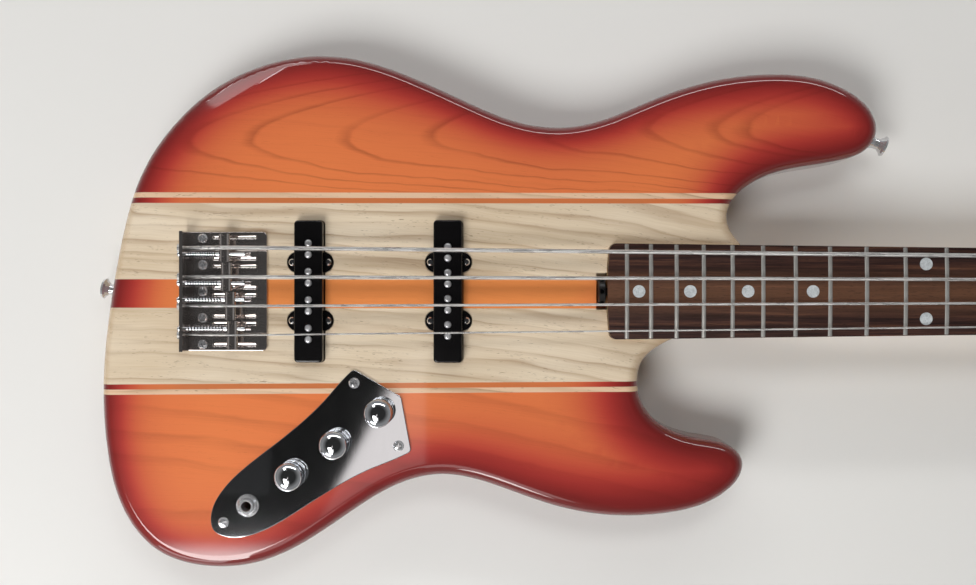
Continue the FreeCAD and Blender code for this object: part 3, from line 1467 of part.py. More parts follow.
hex_outline = [(f"nut_flat_radius*{hex_corner_share:.6f}*cos({60 * k + 30})",
                f"nut_flat_radius*{hex_corner_share:.6f}*sin({60 * k + 30})") for k in range(6)]
hex_blank = padded("hex_blank", hex_outline, "nut_thick", up * size.washer_thick)
hex_bore = cylinder("hex_bore", "bush_radius", "nut_thick + 2*cut_overrun",
                    up * (size.washer_thick - size.cut_overrun))
hex_bevel = turned("hex_bevel", [
    ("nut_flat_radius - nut_chamfer/2", "washer_thick + nut_thick"),
    ("nut_flat_radius*1.5", "washer_thick + nut_thick - nut_flat_radius*0.5 - nut_chamfer/2"),
    ("nut_flat_radius*1.5", "washer_thick + nut_thick + cut_overrun"),
    ("nut_flat_radius - nut_chamfer/2", "washer_thick + nut_thick + cut_overrun")])
hex_nut = cut("hex_nut", hex_blank, [hex_bore, hex_bevel])
fixing = group("control_fixing", [washer, hex_nut])
node("control_nuts", copies("control_nuts", fixing, [Placement(p + up * size.plate_thick, Rotation())
                                                     for p in control_spots]))

knob_names = ("neck_volume_knob", "bridge_volume_knob", "tone_knob")
dome_corners = [(f"knob_radius*cos({lift})", f"knob_height - knob_dome + knob_dome*sin({lift})")
                for lift in range(12, 90, 12)]
for name, place in zip(knob_names, reversed(pot_places)):
    shaft = turned(name + "_shaft", [
        ("0", "2*pot_skin - pot_height"), ("pot_shaft_radius", "2*pot_skin - pot_height"),
        ("pot_shaft_radius", "-pot_height*0.45"), ("wiper_radius", "-pot_height*0.45"),
        ("wiper_radius", "wiper_thick - pot_height*0.45"), ("pot_shaft_radius", "wiper_thick - pot_height*0.45"),
        ("pot_shaft_radius", "pot_shaft_top"), ("0", "pot_shaft_top")], place)
    knob = turned(name + "_cap", [
        ("pot_shaft_radius", "knob_hollow"), ("knob_hollow_radius", "knob_hollow"), ("knob_hollow_radius", "0"),
        ("knob_radius", "0"), ("knob_radius", "knob_height - knob_dome"), *dome_corners, ("0", "knob_height"),
        ("0", "pot_shaft_top - plate_thick - knob_lift"),
        ("pot_shaft_radius", "pot_shaft_top - plate_thick - knob_lift")],
        place + up * (size.plate_thick + size.knob_lift))
    node(name, knob)
    node(name.replace("knob", "shaft"), shaft)

# Output jack: threaded sleeve with a flange, fibre stack and two contact strips
jack_sleeve = turned("jack_sleeve", [
    ("jack_bore_radius", "-jack_flange"), ("jack_flange_radius", "-jack_flange"), ("jack_flange_radius", "0"),
    ("bush_radius", "0"), ("bush_radius", "plate_thick + bush_rise - bush_chamfer/2"),
    ("bush_radius - bush_chamfer/2", "plate_thick + bush_rise"),
    ("jack_bore_radius + bush_chamfer", "plate_thick + bush_rise"),
    ("jack_bore_radius", "plate_thick + bush_rise - bush_chamfer")], jack_place)
jack_stack = turned("jack_stack", [
    ("jack_bore_radius*1.3", "-2*jack_flange"), ("jack_flange_radius", "-2*jack_flange"),
    ("jack_flange_radius", "-jack_flange"), ("jack_bore_radius*1.3", "-jack_flange")], jack_place)
strips = []
for side in (-1, 1):
    strips.append(box(f"jack_strip_{side}", "jack_strip_thick", "jack_strip_width", "jack_depth - 2*jack_flange",
                      control_place(side * size.jack_strip_offset - size.jack_strip_thick / 2,
                                    -size.jack_strip_width / 2, -size.jack_depth), control_turn))
node("output_jack", group("output_jack", [jack_sleeve, jack_stack] + strips))

# Tone capacitor, and the wires between pickups, pots and jack
capacitor = cylinder("capacitor", "capacitor_radius", "capacitor_thick",
                     control_place(2 * size.control_spacing, 0, -size.pot_height), -up)


def wire(name, start, end):
    piece = cylinder(name, "wire_radius", "wire_radius", start, end - start)
    piece.setExpression("Height", None)
    piece.Height = (end - start).Length
    return piece


wires = []
for number in (0, 1, 2):
    reach = size.pot_radius if number else size.jack_flange_radius
    level = -size.jack_flange - size.wire_radius
    start = control_place(size.control_spacing * number + reach, 0, level)
    end = control_place(size.control_spacing * (number + 1) - size.pot_radius, 0, level)
    wires.append(wire(f"hookup_wire_{number}", start, end))
for pickup, pot_number in (("bridge_pickup", 1), ("neck_pickup", 2)):
    start, end = wire_route(pickup, pot_number)
    rest = up * (size.wire_radius - size.channel_radius)
    wires.append(wire(f"{pickup}_lead", start + rest, end + rest))
node("wiring", group("wiring", wires + [capacitor]))


# Tuners, in their own frame: origin on the headstock's back at the post, +Y towards the key, worm on the +X side
worm_offset = size.gear_pitch_radius + size.worm_pitch_radius
worm_outer = size.worm_pitch_radius + size.tooth_addendum
worm_core = size.worm_pitch_radius - size.tooth_dedendum
worm_level = -size.tuner_plate_thick - worm_outer - size.worm_lift
worm_pitch = 2 * math.pi * size.gear_pitch_radius / size.gear_teeth
gear_top = worm_level + size.gear_thick / 2
# thread and tooth widths at root and tip, as shares of the pitch
thread_root_share, thread_tip_share = 0.38, 0.18
tooth_root_share, tooth_tip_share = 0.40, 0.20


def tuner_frame(index):
    return Placement(post_places[index], post_turn)


def tuner_plate():
    corner = Vector(-size.tuner_plate_side, plate_low, -size.tuner_plate_thick)
    plate = box("tuner_plate_sheet", "tuner_plate_width", "tuner_plate_length", "tuner_plate_thick", corner)
    pieces = [plate]
    holes = [cylinder("tuner_post_hole", "post_radius + pocket_gap", "tuner_plate_thick + 2*cut_overrun",
                      Vector(0, 0, -size.tuner_plate_thick - size.cut_overrun))]
    drop = size.tuner_ear_drop - worm_level
    for number, y in enumerate((-size.tuner_ear_gap / 2 - size.tuner_ear_thick, size.tuner_ear_gap / 2)):
        ear = box(f"tuner_ear_{number}", "tuner_ear_width", "tuner_ear_thick", "tuner_ear_drop",
                  Vector(worm_offset - size.tuner_ear_width / 2, y, -drop))
        ear.setExpression("Height", None)
        ear.Height = drop
        pieces.append(ear)
    shaft_start = Vector(worm_offset, -size.tuner_plate_length, worm_level)
    holes.append(cylinder("tuner_shaft_hole", "key_shaft_radius + running_gap", "2*tuner_plate_length",
                          shaft_start, across))
    for number, spot in enumerate(tuner_screw_spots):
        holes.append(cylinder(f"tuner_screw_hole_{number}", "tuner_screw_radius", "tuner_plate_thick + 2*cut_overrun",
                              spot - up * (size.tuner_plate_thick + size.cut_overrun)))
    return cut("tuner_plate", joined("tuner_plate_bent", pieces), holes)


def gear_shape():
    # straight teeth, the first one centred on +X where the worm runs
    step = 360 / size.gear_teeth
    root = size.gear_pitch_radius - size.tooth_dedendum
    tip = size.gear_pitch_radius + size.tooth_addendum
    half_root, half_tip = worm_pitch * tooth_root_share / 2, worm_pitch * tooth_tip_share / 2
    corners = []
    for number in range(int(size.gear_teeth)):
        turn = Rotation(up, number * step)
        for x, y in ((root, -half_root), (tip, -half_tip), (tip, half_tip), (root, half_root)):
            corners.append(turn.multVec(Vector(x, y, gear_top - size.gear_thick)))
    disc = Part.Face(Part.makePolygon(corners + corners[:1])).extrude(up * size.gear_thick)
    bore = Part.makeCylinder(size.gear_seat_radius, size.gear_thick * 3, up * (gear_top - 2 * size.gear_thick))
    return disc.cut(bore)


def worm_shape():
    # a right-hand thread on the key's shaft, with a gap of the thread facing the gear's first tooth
    half_root, half_tip = worm_pitch * thread_root_share / 2, worm_pitch * thread_tip_share / 2
    thread_length = size.worm_length - 2 * worm_pitch
    helix = Part.makeHelix(worm_pitch, thread_length, worm_core)
    sink = worm_core * 0.94
    corners = [Vector(sink, 0, -half_root), Vector(worm_outer, 0, -half_tip), Vector(worm_outer, 0, half_tip),
               Vector(sink, 0, half_root)]
    thread = Part.Wire(helix).makePipeShell([Part.makePolygon(corners + corners[:1])], True, True)
    core = Part.makeCylinder(worm_core, size.worm_length, Vector(0, 0, -worm_pitch))
    worm = core.fuse(thread)
    # the thread passes the gear's side of the worm half a pitch away from the first tooth
    steps = math.floor(thread_length / worm_pitch / 2)
    worm.rotate(Vector(), up, 180)
    worm.translate(-up * worm_pitch * (steps + 0.5))
    return worm


def key_shape():
    shaft = Part.makeCylinder(size.key_shaft_radius, size.tuner_ear_gap + size.tuner_ear_thick * 2 + size.key_reach,
                              Vector(0, 0, -size.tuner_ear_gap / 2 - size.tuner_ear_thick))
    collar_start = size.tuner_ear_gap / 2 + size.tuner_ear_thick + size.key_reach - size.key_collar
    collar = Part.makeCone(size.key_shaft_radius, size.key_collar_radius, size.key_collar, up * collar_start)
    level = collar_start + size.key_collar + size.key_lobe_radius * 0.7
    lobes = []
    for side, rise in ((-1, 0), (1, 0), (0, 1)):
        middle = Vector(side * size.key_lobe_spread, -size.key_thick / 2, level + rise * size.key_lobe_rise)
        lobes.append(Part.makeCylinder(size.key_lobe_radius, size.key_thick, middle, across))
    worm = worm_shape()
    return worm.fuse([shaft, collar] + lobes)


def post_solid():
    low = gear_top - size.gear_thick
    head = size.head_thick
    top = head + size.post_height
    waist_low = head + size.winding_lift - 3 * size.string_e_radius
    waist_top = top - size.post_cap
    profile = [(0, low), (size.gear_seat_radius, low), (size.gear_seat_radius, gear_top),
               (size.post_radius, gear_top), (size.post_radius, waist_low),
               (size.post_waist_radius, waist_low + size.post_radius - size.post_waist_radius),
               (size.post_waist_radius, waist_top), (size.post_radius, waist_top), (size.post_radius, top), (0, top)]
    corners = [Vector(r, 0, z) for r, z in profile]
    post = Part.Face(Part.makePolygon(corners + corners[:1])).revolve(Vector(), up, 360)
    slot = Part.makeBox(size.post_radius * 4, size.post_slot_width, size.post_slot_depth * 2,
                        Vector(-size.post_radius * 2, -size.post_slot_width / 2, top - size.post_slot_depth))
    return post.cut(slot)


def gear_screw():
    low = gear_top - size.gear_thick
    return Part.makeCylinder(size.gear_screw_head_radius, size.gear_screw_head, up * (low - size.gear_screw_head))


key_turn = Rotation(up, across)
key_solid = key_shape()
post_parts = Part.makeCompound([post_solid(), gear_shape(), gear_screw()])
for index, letter in enumerate(strings):
    frame = tuner_frame(index)
    axis_place = frame.multiply(Placement(Vector(worm_offset, 0, worm_level), key_turn))
    node(f"tuner_key_{letter}", shaped(f"tuner_key_{letter}", key_solid.copy(), axis_place.Base, axis_place.Rotation))
    node(f"tuner_post_{letter}", shaped(f"tuner_post_{letter}", post_parts.copy(), frame.Base, frame.Rotation))
node("tuner_plates", copies("tuner_plates", tuner_plate(), [tuner_frame(i) for i in range(4)]))
ferrule = turned("ferrule", [
    ("post_radius + running_gap", "-ferrule_sleeve"), ("ferrule_sleeve_radius", "-ferrule_sleeve"),
    ("ferrule_sleeve_radius", "0"), ("ferrule_radius", "0"), ("ferrule_radius*0.9", "ferrule_flange"),
    ("post_radius + running_gap", "ferrule_flange")])
node("tuner_ferrules", copies("tuner_ferrules", ferrule, [
    Placement(Vector(p.x, p.y, head_top), Rotation()) for p in post_places]))
tuner_screw = screw("tuner_screw", "tuner_screw_radius", "tuner_screw_head_radius", "tuner_screw_head",
                    "tuner_screw_length")
node("headstock_screws", copies("headstock_screws", tuner_screw, tuner_screw_places + [retainer_screw_place]))

# String retainer: a disc on a stem that holds the two thin strings down
retainer = turned("string_retainer", [
    ("tuner_screw_radius", "0"), ("retainer_stem_radius", "0"), ("retainer_stem_radius", "retainer_lift"),
    ("retainer_radius", "retainer_lift"), ("retainer_radius", "retainer_lift + retainer_thick*0.5"),
    ("retainer_radius*0.85", "retainer_lift + retainer_thick"),
    ("tuner_screw_radius", "retainer_lift + retainer_thick")], retainer_place)
node("string_retainer", retainer)

doc.recompute()
for piece in doc.Objects:
    if {"Invalid", "Error"} & set(piece.State):
        raise RuntimeError(f"{piece.Label} failed: {piece.State}")
for name, piece in nodes.items():
    if piece.Shape.isNull() or not piece.Shape.isValid():
        raise RuntimeError(f"{name} has no valid shape")
os.makedirs("parts", exist_ok=True)
for name, piece in nodes.items():
    piece.Shape.exportStep(f"parts/{name}.step")
print(len(nodes), "nodes,", sum(len(piece.Shape.Solids) for piece in nodes.values()), "solids")
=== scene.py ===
import json
import math
import bmesh
import bpy
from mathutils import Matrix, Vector, kdtree, noise


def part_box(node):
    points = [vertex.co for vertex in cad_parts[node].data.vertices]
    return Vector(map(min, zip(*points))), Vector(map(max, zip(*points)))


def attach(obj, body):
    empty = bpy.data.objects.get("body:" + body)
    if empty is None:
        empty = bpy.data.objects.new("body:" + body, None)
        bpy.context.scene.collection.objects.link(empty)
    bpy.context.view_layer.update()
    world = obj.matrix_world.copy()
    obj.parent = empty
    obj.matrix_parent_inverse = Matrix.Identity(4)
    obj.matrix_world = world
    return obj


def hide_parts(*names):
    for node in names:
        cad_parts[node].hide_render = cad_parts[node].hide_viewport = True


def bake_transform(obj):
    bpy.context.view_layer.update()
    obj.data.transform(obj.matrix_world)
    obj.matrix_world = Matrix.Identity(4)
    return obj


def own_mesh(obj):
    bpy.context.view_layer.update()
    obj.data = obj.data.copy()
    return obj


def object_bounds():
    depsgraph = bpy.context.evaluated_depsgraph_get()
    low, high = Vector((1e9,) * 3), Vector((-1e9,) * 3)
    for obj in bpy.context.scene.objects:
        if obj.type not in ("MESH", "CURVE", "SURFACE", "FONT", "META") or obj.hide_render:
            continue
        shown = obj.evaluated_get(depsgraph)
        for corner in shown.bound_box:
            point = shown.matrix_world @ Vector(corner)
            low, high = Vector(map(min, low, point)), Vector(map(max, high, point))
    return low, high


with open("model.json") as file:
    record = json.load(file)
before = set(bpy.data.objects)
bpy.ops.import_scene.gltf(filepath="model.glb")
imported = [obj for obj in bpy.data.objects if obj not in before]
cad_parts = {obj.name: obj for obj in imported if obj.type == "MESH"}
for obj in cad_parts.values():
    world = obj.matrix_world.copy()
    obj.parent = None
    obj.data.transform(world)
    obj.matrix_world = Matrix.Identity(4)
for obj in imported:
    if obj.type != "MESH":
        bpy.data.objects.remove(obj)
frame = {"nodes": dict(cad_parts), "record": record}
cadBox = [list(corner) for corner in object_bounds()]
nodes = frame["nodes"]
print("frame loaded:", len(nodes), "nodes")


def paint(red, green, blue):
    # screen colour, 0 to 255, to the linear colour that a shader takes
    parts = []
    for part in (red / 255, green / 255, blue / 255):
        parts.append(part / 12.92 if part <= 0.04045 else ((part + 0.055) / 1.055) ** 2.4)
    return (*parts, 1.0)


def shaded(colour, factor, lift=0.0):
    # a screen colour made darker or lighter
    return tuple(min(1.0, part * factor + lift) for part in paint(*colour)[:3]) + (1.0,)


def painted(stops):
    # (place, screen colour) pairs with the colours that a ramp takes
    return [(place, paint(*colour)) for place, colour in stops]


def grey(share):
    return (share, share, share, 1.0)


class Wire:
    def __init__(self, tree, socket=None):
        self.tree = tree
        self.socket = socket

    def node(self, kind, settings=None, sockets=None, out=0):
        made = self.tree.nodes.new("ShaderNode" + kind)
        for name, value in (settings or {}).items():
            if name == "stops":  # a ramp's (place, colour) pairs
                points = made.color_ramp.elements
                points[0].position, points[0].color = value[0]
                points[1].position, points[1].color = value[-1]
                for place, colour in value[1:-1]:
                    points.new(place).color = colour
            elif name == "blendBy":
                made.color_ramp.interpolation = value
            else:
                setattr(made, name, value)
        for name, value in (sockets or {}).items():
            if isinstance(value, Wire):
                self.tree.links.new(value.socket, made.inputs[name])
            else:
                made.inputs[name].default_value = value
        return Wire(self.tree, made.outputs[out])

    def math(self, operation, first, second=0.0, clamp=False):
        return self.node("Math", {"operation": operation, "use_clamp": clamp}, {0: first, 1: second})

    def __add__(self, other):
        return self.math("ADD", self, other)

    def __radd__(self, other):
        return self.math("ADD", other, self)

    def __sub__(self, other):
        return self.math("SUBTRACT", self, other)

    def __rsub__(self, other):
        return self.math("SUBTRACT", other, self)

    def __mul__(self, other):
        return self.math("MULTIPLY", self, other)

    def __rmul__(self, other):
        return self.math("MULTIPLY", other, self)

    def __truediv__(self, other):
        return self.math("DIVIDE", self, other)

    def __rtruediv__(self, other):
        return self.math("DIVIDE", other, self)

    def most(self, other):
        return self.math("MAXIMUM", self, other)

    def held(self):  # kept between 0 and 1
        return self.math("ADD", self, 0.0, clamp=True)

    def wave(self):
        return self.math("SINE", self)

    def size(self):
        return self.math("ABSOLUTE", self)

    def parts(self):
        split = self.node("SeparateXYZ", None, {0: self})
        owner = split.socket.node
        return [Wire(self.tree, owner.outputs[i]) for i in range(3)]

    def cloud(self, place, scale=1.0, detail=2.0, roughness=0.5, twist=0.0):
        return self.node("TexNoise", None, {"Vector": place, "Scale": scale, "Detail": detail,
                                            "Roughness": roughness, "Distortion": twist})

    def grain(self, place, sizes, detail=2.0, roughness=0.5):
        # noise drawn out to a size along each axis
        x, y, z = [part / size for part, size in zip(place, sizes)]
        return self.cloud(self.node("CombineXYZ", None, {0: x, 1: y, 2: z}), 1.0, detail, roughness)

    def ramp(self, value, stops, blendBy="LINEAR"):
        return self.node("ValToRGB", {"stops": stops, "blendBy": blendBy}, {0: value})

    def above(self, value, start, end):
        # a mask that grows from 0 at the start to 1 at the end
        return self.ramp(value, [(start, grey(0)), (end, grey(1))])

    def mix(self, first, second, share):
        return self.node("Mix", {"data_type": "RGBA"}, {0: share, 6: first, 7: second}, out=2)

    def bump(self, height, depth, strength=1.0):
        return self.node("Bump", None, {"Strength": strength, "Distance": depth, "Height": height})


def newFinish(name, constants):
    made = bpy.data.materials.new(name)
    made.use_nodes = True
    tree = made.node_tree
    tree.nodes.clear()
    result = tree.nodes.new("ShaderNodeOutputMaterial")
    shader = tree.nodes.new("ShaderNodeBsdfPrincipled")
    tree.links.new(shader.outputs[0], result.inputs[0])
    for socket, value in constants.items():
        shader.inputs[socket].default_value = value
    return made, Wire(tree), shader


def feed(shader, wires):
    for socket, wire in wires.items():
        shader.id_data.links.new(wire.socket, shader.inputs[socket])


def millimetres(pen):
    # the object's own coordinates, in millimetres
    place = pen.node("TexCoord", None, None, out="Object")
    return pen.node("VectorMath", {"operation": "SCALE"}, {0: place, "Scale": 1000.0})


# laminated ash body: each line is (its height at x = 0, its rise per millimetre), top to bottom;
# each mark or glaze is (its colour, its share); each cloud is its sizes in millimetres
bodyLook = {
    "lacquer": {"Coat Weight": 1.0, "Coat Roughness": 0.045, "Coat IOR": 1.65, "Specular IOR Level": 0.08},
    "lines": {
        "upperWing": (64.4, -0.0045), "upperWhite": (61.0, -0.0052), "upperOrange": (57.5, -0.0037),
        "coreTop": (7.8, -0.0022), "coreBottom": (-10.75, -0.001),
        "lowerOrange": (-60.1, 0.0083), "lowerWhite": (-63.5, 0.0085), "lowerWing": (-66.8, 0.0088)},
    "feather": 0.35,
    # colour by the depth in from the outline, in millimetres
    "burst": ((0, (104, 30, 30)), (3, (112, 33, 32)), (7, (127, 37, 36)), (11, (147, 45, 41)),
              (14, (162, 52, 46)), (17, (175, 61, 50)), (20, (186, 72, 55)), (24, (196, 86, 60)),
              (28, (204, 97, 63)), (33, (210, 106, 66)), (40, (216, 114, 69)), (52, (222, 120, 71)),
              (80, (227, 126, 73))),
    "burstWander": 4.0,
    # where that depth is stretched: by how much, and from where to where along x and y, in metres
    "stretches": (
        {"share": -0.34, "x": ((0.10, 0.28),), "y": ((0.0, -0.08),)},
        {"share": 0.22, "x": ((0.05, -0.05),), "y": ((-0.03, -0.10),)},
        {"share": 0.4, "x": ((0.08, 0.18), (0.34, 0.24)), "y": ((0.05, 0.07),)}),
    "ash": ((212, 191, 161), (232, 216, 192)),
    "marks": {"whiteLine": ((230, 190, 156), 0.75), "streak": ((164, 134, 104), 0.8),
              "pore": ((112, 86, 62), 0.65)},
    "edgeTan": {"colour": (190, 156, 112), "share": 0.75, "fade": 9.0},
    "glazes": {"core": ((228, 141, 77), 0.85), "orangeLine": ((196, 116, 70), 0.85)},
    "glazeFrom": (38.0, 0.7),
    "darkStain": {"colour": (96, 30, 22), "ring": 0.46, "streak": 0.06, "pore": 0.12, "silk": 0.24},
    # growth rings of the wings: long tongues that open to the right above, slanted lines below
    "tongue": {"slope": 0.022, "axis": 97.0, "wander": 9.0, "blunt": 8.5, "uneven": 2.2, "shift": 26.0,
               "deep": 0.35},
    "upperRings": {"at": (-62, -15, 28, 92, 150, 226, 287, 332, 351), "start": -100.0, "length": 520.0,
                   "before": 0.0175, "after": 0.0065},
    "slant": {"slope": 0.1, "bend": 0.0003, "wander": 12.0, "deep": 0.25},
    "lowerRings": {"at": (-135, -102, -86, -70, -53, -33), "start": -160.0, "length": 150.0,
                   "before": 0.045, "after": 0.014},
    "lowerShare": 0.6,
    # the natural wood's growth lines: (place in a line's width, darkness)
    "lean": {"slope": 0.045, "bend": 0.00022, "wander": 9.0},
    "growthWidth": 8.5,
    "growthSpread": 3.2,
    "growthDeep": 0.05,
    "growth": ((0.0, 0.12), (0.14, 0), (0.42, 0.06), (0.74, 0.55), (0.88, 1), (0.97, 0.22), (1.0, 0.12)),
    "clouds": {"drift": (90.0, 34.0, 60.0), "fade": (60.0, 22.0, 40.0), "spread": (210.0, 16.0, 30.0),
               "strength": (95.0, 9.0, 20.0), "silk": (38.0, 0.8, 2.0), "pore": (4.2, 0.36, 1.2),
               "poreField": (40.0, 5.0, 9.0), "tone": (120.0, 26.0, 40.0)},
    "rough": 0.42,
    "relief": 0.00003,
    # the skin: height of the outline's cut, its points' spacing, and the width of a cell, in metres
    "outlineAt": 0.0275,
    "outlineStep": 0.0015,
    "cell": 0.008,
    "rim": 0.00874,
    "rimSlack": 0.0003,
    "flatSlack": 0.00002,
    "crease": 0.88,
    "smoothing": 4}


def ringLines(pen, value, look):
    # a dark line at each ring, with a long soft start and a short end
    stops = [(0.0, grey(0))]
    for ring in look["at"]:
        spot = (ring - look["start"]) / look["length"]
        stops += [(spot - look["before"], grey(0)), (spot, grey(1)), (spot + look["after"], grey(0))]
    return pen.ramp((value - look["start"]) / look["length"], stops + [(1.0, grey(0))])


def bodyFinish():
    made, pen, shader = newFinish("burstAsh", bodyLook["lacquer"])
    place = x, y, z = millimetres(pen).parts()
    sizes = bodyLook["clouds"]

    def over(name):
        # 1 above a line of the lamination, 0 below it
        level, rise = bodyLook["lines"][name]
        return ((y - (x * rise + level)) / bodyLook["feather"] + 0.5).held()

    upperWing = over("upperWing")
    lowerWing = 1.0 - over("lowerWing")
    core = over("coreBottom") - over("coreTop")
    orangeLines = over("upperOrange") - over("upperWhite") + over("lowerWhite") - over("lowerOrange")
    whiteLines = over("upperWhite") - upperWing + over("lowerWing") - over("lowerWhite")
    stained = (upperWing + lowerWing + core + orangeLines).held()

    drift = pen.grain(place, sizes["drift"], 3.0, 0.55) - 0.5

    def leaning(look):
        # height over a line that steepens to the right and wanders a little
        return y + x * look["slope"] + x * x * look["bend"] + drift * look["wander"]

    tongue = bodyLook["tongue"]
    rise = y - (x * tongue["slope"] + tongue["axis"]) + drift * tongue["wander"]
    narrow = tongue["blunt"] + pen.math("SIGN", rise) * tongue["uneven"]
    upperTongue = x - rise * rise / narrow + drift * tongue["shift"] + z * tongue["deep"]
    upperRing = ringLines(pen, upperTongue, bodyLook["upperRings"])
    slant = leaning(bodyLook["slant"]) + z * bodyLook["slant"]["deep"]
    lowerRing = ringLines(pen, slant, bodyLook["lowerRings"])
    fade = pen.grain(place, sizes["fade"]) * 1.5 - 0.15
    rings = (upperRing * upperWing + lowerRing * lowerWing * bodyLook["lowerShare"]) * fade.held()

    # long soft growth lines that steepen to the right, and short dark pores along them
    lean = leaning(bodyLook["lean"])
    along = (x, lean, z)
    spread = pen.grain(along, sizes["spread"])
    turns = pen.math("FRACT", lean / bodyLook["growthWidth"] + spread * bodyLook["growthSpread"]
                     + z * bodyLook["growthDeep"])
    growth = pen.ramp(turns, [(spot, grey(share)) for spot, share in bodyLook["growth"]])
    strength = pen.grain(along, sizes["strength"]) * 2.6 - 0.75
    streaks = growth * strength.held()
    silk = pen.grain(along, sizes["silk"], 3.0, 0.6)
    poreCloud = pen.grain(along, sizes["pore"], 1.0)
    poreField = pen.grain(along, sizes["poreField"])
    pores = pen.above(poreCloud + poreField * 0.45 + streaks * 0.03, 0.94, 1.0)
    tone = pen.grain(place, sizes["tone"])

    darkAsh, paleAsh = bodyLook["ash"]
    ash = pen.mix(paint(*darkAsh), paint(*paleAsh), (tone * 1.7 + silk * 1.2 - 0.95).held())
    for name, mask in (("whiteLine", whiteLines), ("streak", streaks), ("pore", pores)):
        colour, share = bodyLook["marks"][name]
        ash = pen.mix(ash, paint(*colour), mask * share)
    edge = pen.node("Attribute", {"attribute_name": "fromEdge"}, None, out="Fac")
    tan = bodyLook["edgeTan"]
    ash = pen.mix(ash, paint(*tan["colour"]), (tan["share"] - edge / tan["fade"]).held())

    deepest = float(bodyLook["burst"][-1][0])
    burstStops = painted((depth / deepest, colour) for depth, colour in bodyLook["burst"])
    depth = pen.node("Attribute", {"attribute_name": "burstDepth"}, None, out="Fac")
    stain = pen.ramp((depth + drift * bodyLook["burstWander"]) / deepest, burstStops)
    width, start = bodyLook["glazeFrom"]
    deep = (depth / width - start).held()
    for name, mask in (("core", core), ("orangeLine", orangeLines)):
        colour, share = bodyLook["glazes"][name]
        stain = pen.mix(stain, paint(*colour), mask * deep * share)
    dark = bodyLook["darkStain"]
    darkness = (rings * dark["ring"] + streaks * upperWing * dark["streak"] + pores * dark["pore"]
                + (silk - 0.5) * dark["silk"])
    stain = pen.mix(stain, paint(*dark["colour"]), darkness.held())
    feed(shader, {"Base Color": pen.mix(ash, stain, stained),
                  "Roughness": bodyLook["rough"] + (silk - 0.5) * 0.2,
                  "Normal": pen.bump(silk * 0.4 - pores * 0.5, bodyLook["relief"], 0.4)})
    return made


metalLook = {"wipes": (3.0, 14.0, 3.0), "haze": 1.0 / 60.0, "dark": 0.9, "relief": 0.000004,
             "leastRough": 0.01}


def metalFinish(name, colour, rough, change=0.03, constants=None):
    # polished metal with faint wipe marks and haze
    made, pen, shader = newFinish(name, {"Metallic": 1.0, **(constants or {})})
    place = millimetres(pen)
    wipes = pen.grain(place.parts(), metalLook["wipes"], 4.0, 0.7)
    haze = pen.cloud(place, metalLook["haze"], 3.0)
    uneven = (wipes - 0.5) * change + (haze - 0.5) * change
    feed(shader, {"Base Color": pen.mix(shaded(colour, metalLook["dark"]), paint(*colour),
                                        (wipes * 0.7 + haze * 0.6).held()),
                  "Roughness": (uneven + rough).most(metalLook["leastRough"]),
                  "Normal": pen.bump(wipes, metalLook["relief"], 0.25)})
    return made


stringLook = {"dark": (140, 138, 136), "light": (236, 235, 232), "metallic": 0.62, "turn": 0.62, "lean": 0.12,
              "wear": (24.0, 2.0, 2.0), "rough": 0.20, "relief": 0.00006}


def stringFinish():
    # round-wound wire: fine turns along the string's length, the colour lighter on each turn's crest and
    # darker in the groove between turns as painted highlight and painted shade
    made, pen, shader = newFinish("woundWire", {"Metallic": stringLook["metallic"]})
    place = x, y, z = millimetres(pen).parts()
    turns = ((x + (y + z) * stringLook["lean"]) * (2 * math.pi / stringLook["turn"])).wave()
    worn = pen.grain(place, stringLook["wear"], 3.0)
    # the turns in this colour mix are painted highlight on the crests and painted shade in the grooves; the
    # wear is the wire's own
    feed(shader, {"Base Color": pen.mix(paint(*stringLook["dark"]), paint(*stringLook["light"]),
                                        (turns * 0.3 + worn * 1.2 - 0.1).held()),
                  "Roughness": stringLook["rough"] + worn * 0.16,
                  "Normal": pen.bump(turns, stringLook["relief"], 0.7)})
    return made


rosewoodLook = {
    "colours": ((0.30, (30, 19, 18)), (0.44, (50, 33, 30)), (0.56, (70, 46, 39)), (0.74, (110, 74, 56))),
    "middle": (124, 86, 62),
    "middleWidth": 17.0,
    "pore": (30, 21, 19),
    "drift": (160.0, 30.0, 12.0), "bands": (130.0, 3.4, 4.0), "fine": (26.0, 0.55, 0.8),
    "pores": (4.5, 0.3, 0.5),
    "rough": 0.46,
    "relief": 0.00008}


def rosewoodFinish():
    # dark streaked board, paler and browner along its middle
    made, pen, shader = newFinish("rosewood", {"Specular IOR Level": 0.25})
    place = x, y, z = millimetres(pen).parts()
    drift = pen.grain(place, rosewoodLook["drift"]) - 0.5
    along = (x, y + drift * 5.0 + x * 0.006, z)
    bands = pen.grain(along, rosewoodLook["bands"], 5.0, 0.65)
    fine = pen.grain(along, rosewoodLook["fine"], 3.0, 0.6)
    pores = pen.above(pen.grain(along, rosewoodLook["pores"], 1.0), 0.62, 0.70)
    middle = (1.0 - (y + 1.0).size() / rosewoodLook["middleWidth"]).held()
    colour = pen.ramp(bands + (fine - 0.5) * 0.35, painted(rosewoodLook["colours"]))
    colour = pen.mix(colour, paint(*rosewoodLook["middle"]), middle * 0.55)
    colour = pen.mix(colour, paint(*rosewoodLook["pore"]), pores * 0.6)
    feed(shader, {"Base Color": colour,
                  "Roughness": rosewoodLook["rough"] + (fine - 0.5) * 0.25 + pores * 0.15,
                  "Normal": pen.bump(fine * 0.4 - pores, rosewoodLook["relief"], 0.5)})
    return made


mapleLook = {
    "colours": ((0.3, (206, 160, 104)), (0.5, (224, 184, 130)), (0.7, (234, 200, 150))),
    "fleck": (168, 118, 70),
    "drift": (200.0, 40.0, 40.0), "rings": (260.0, 6.0, 30.0), "flecks": (3.2, 0.4, 0.6),
    "rough": 0.34,
    "relief": 0.00002}


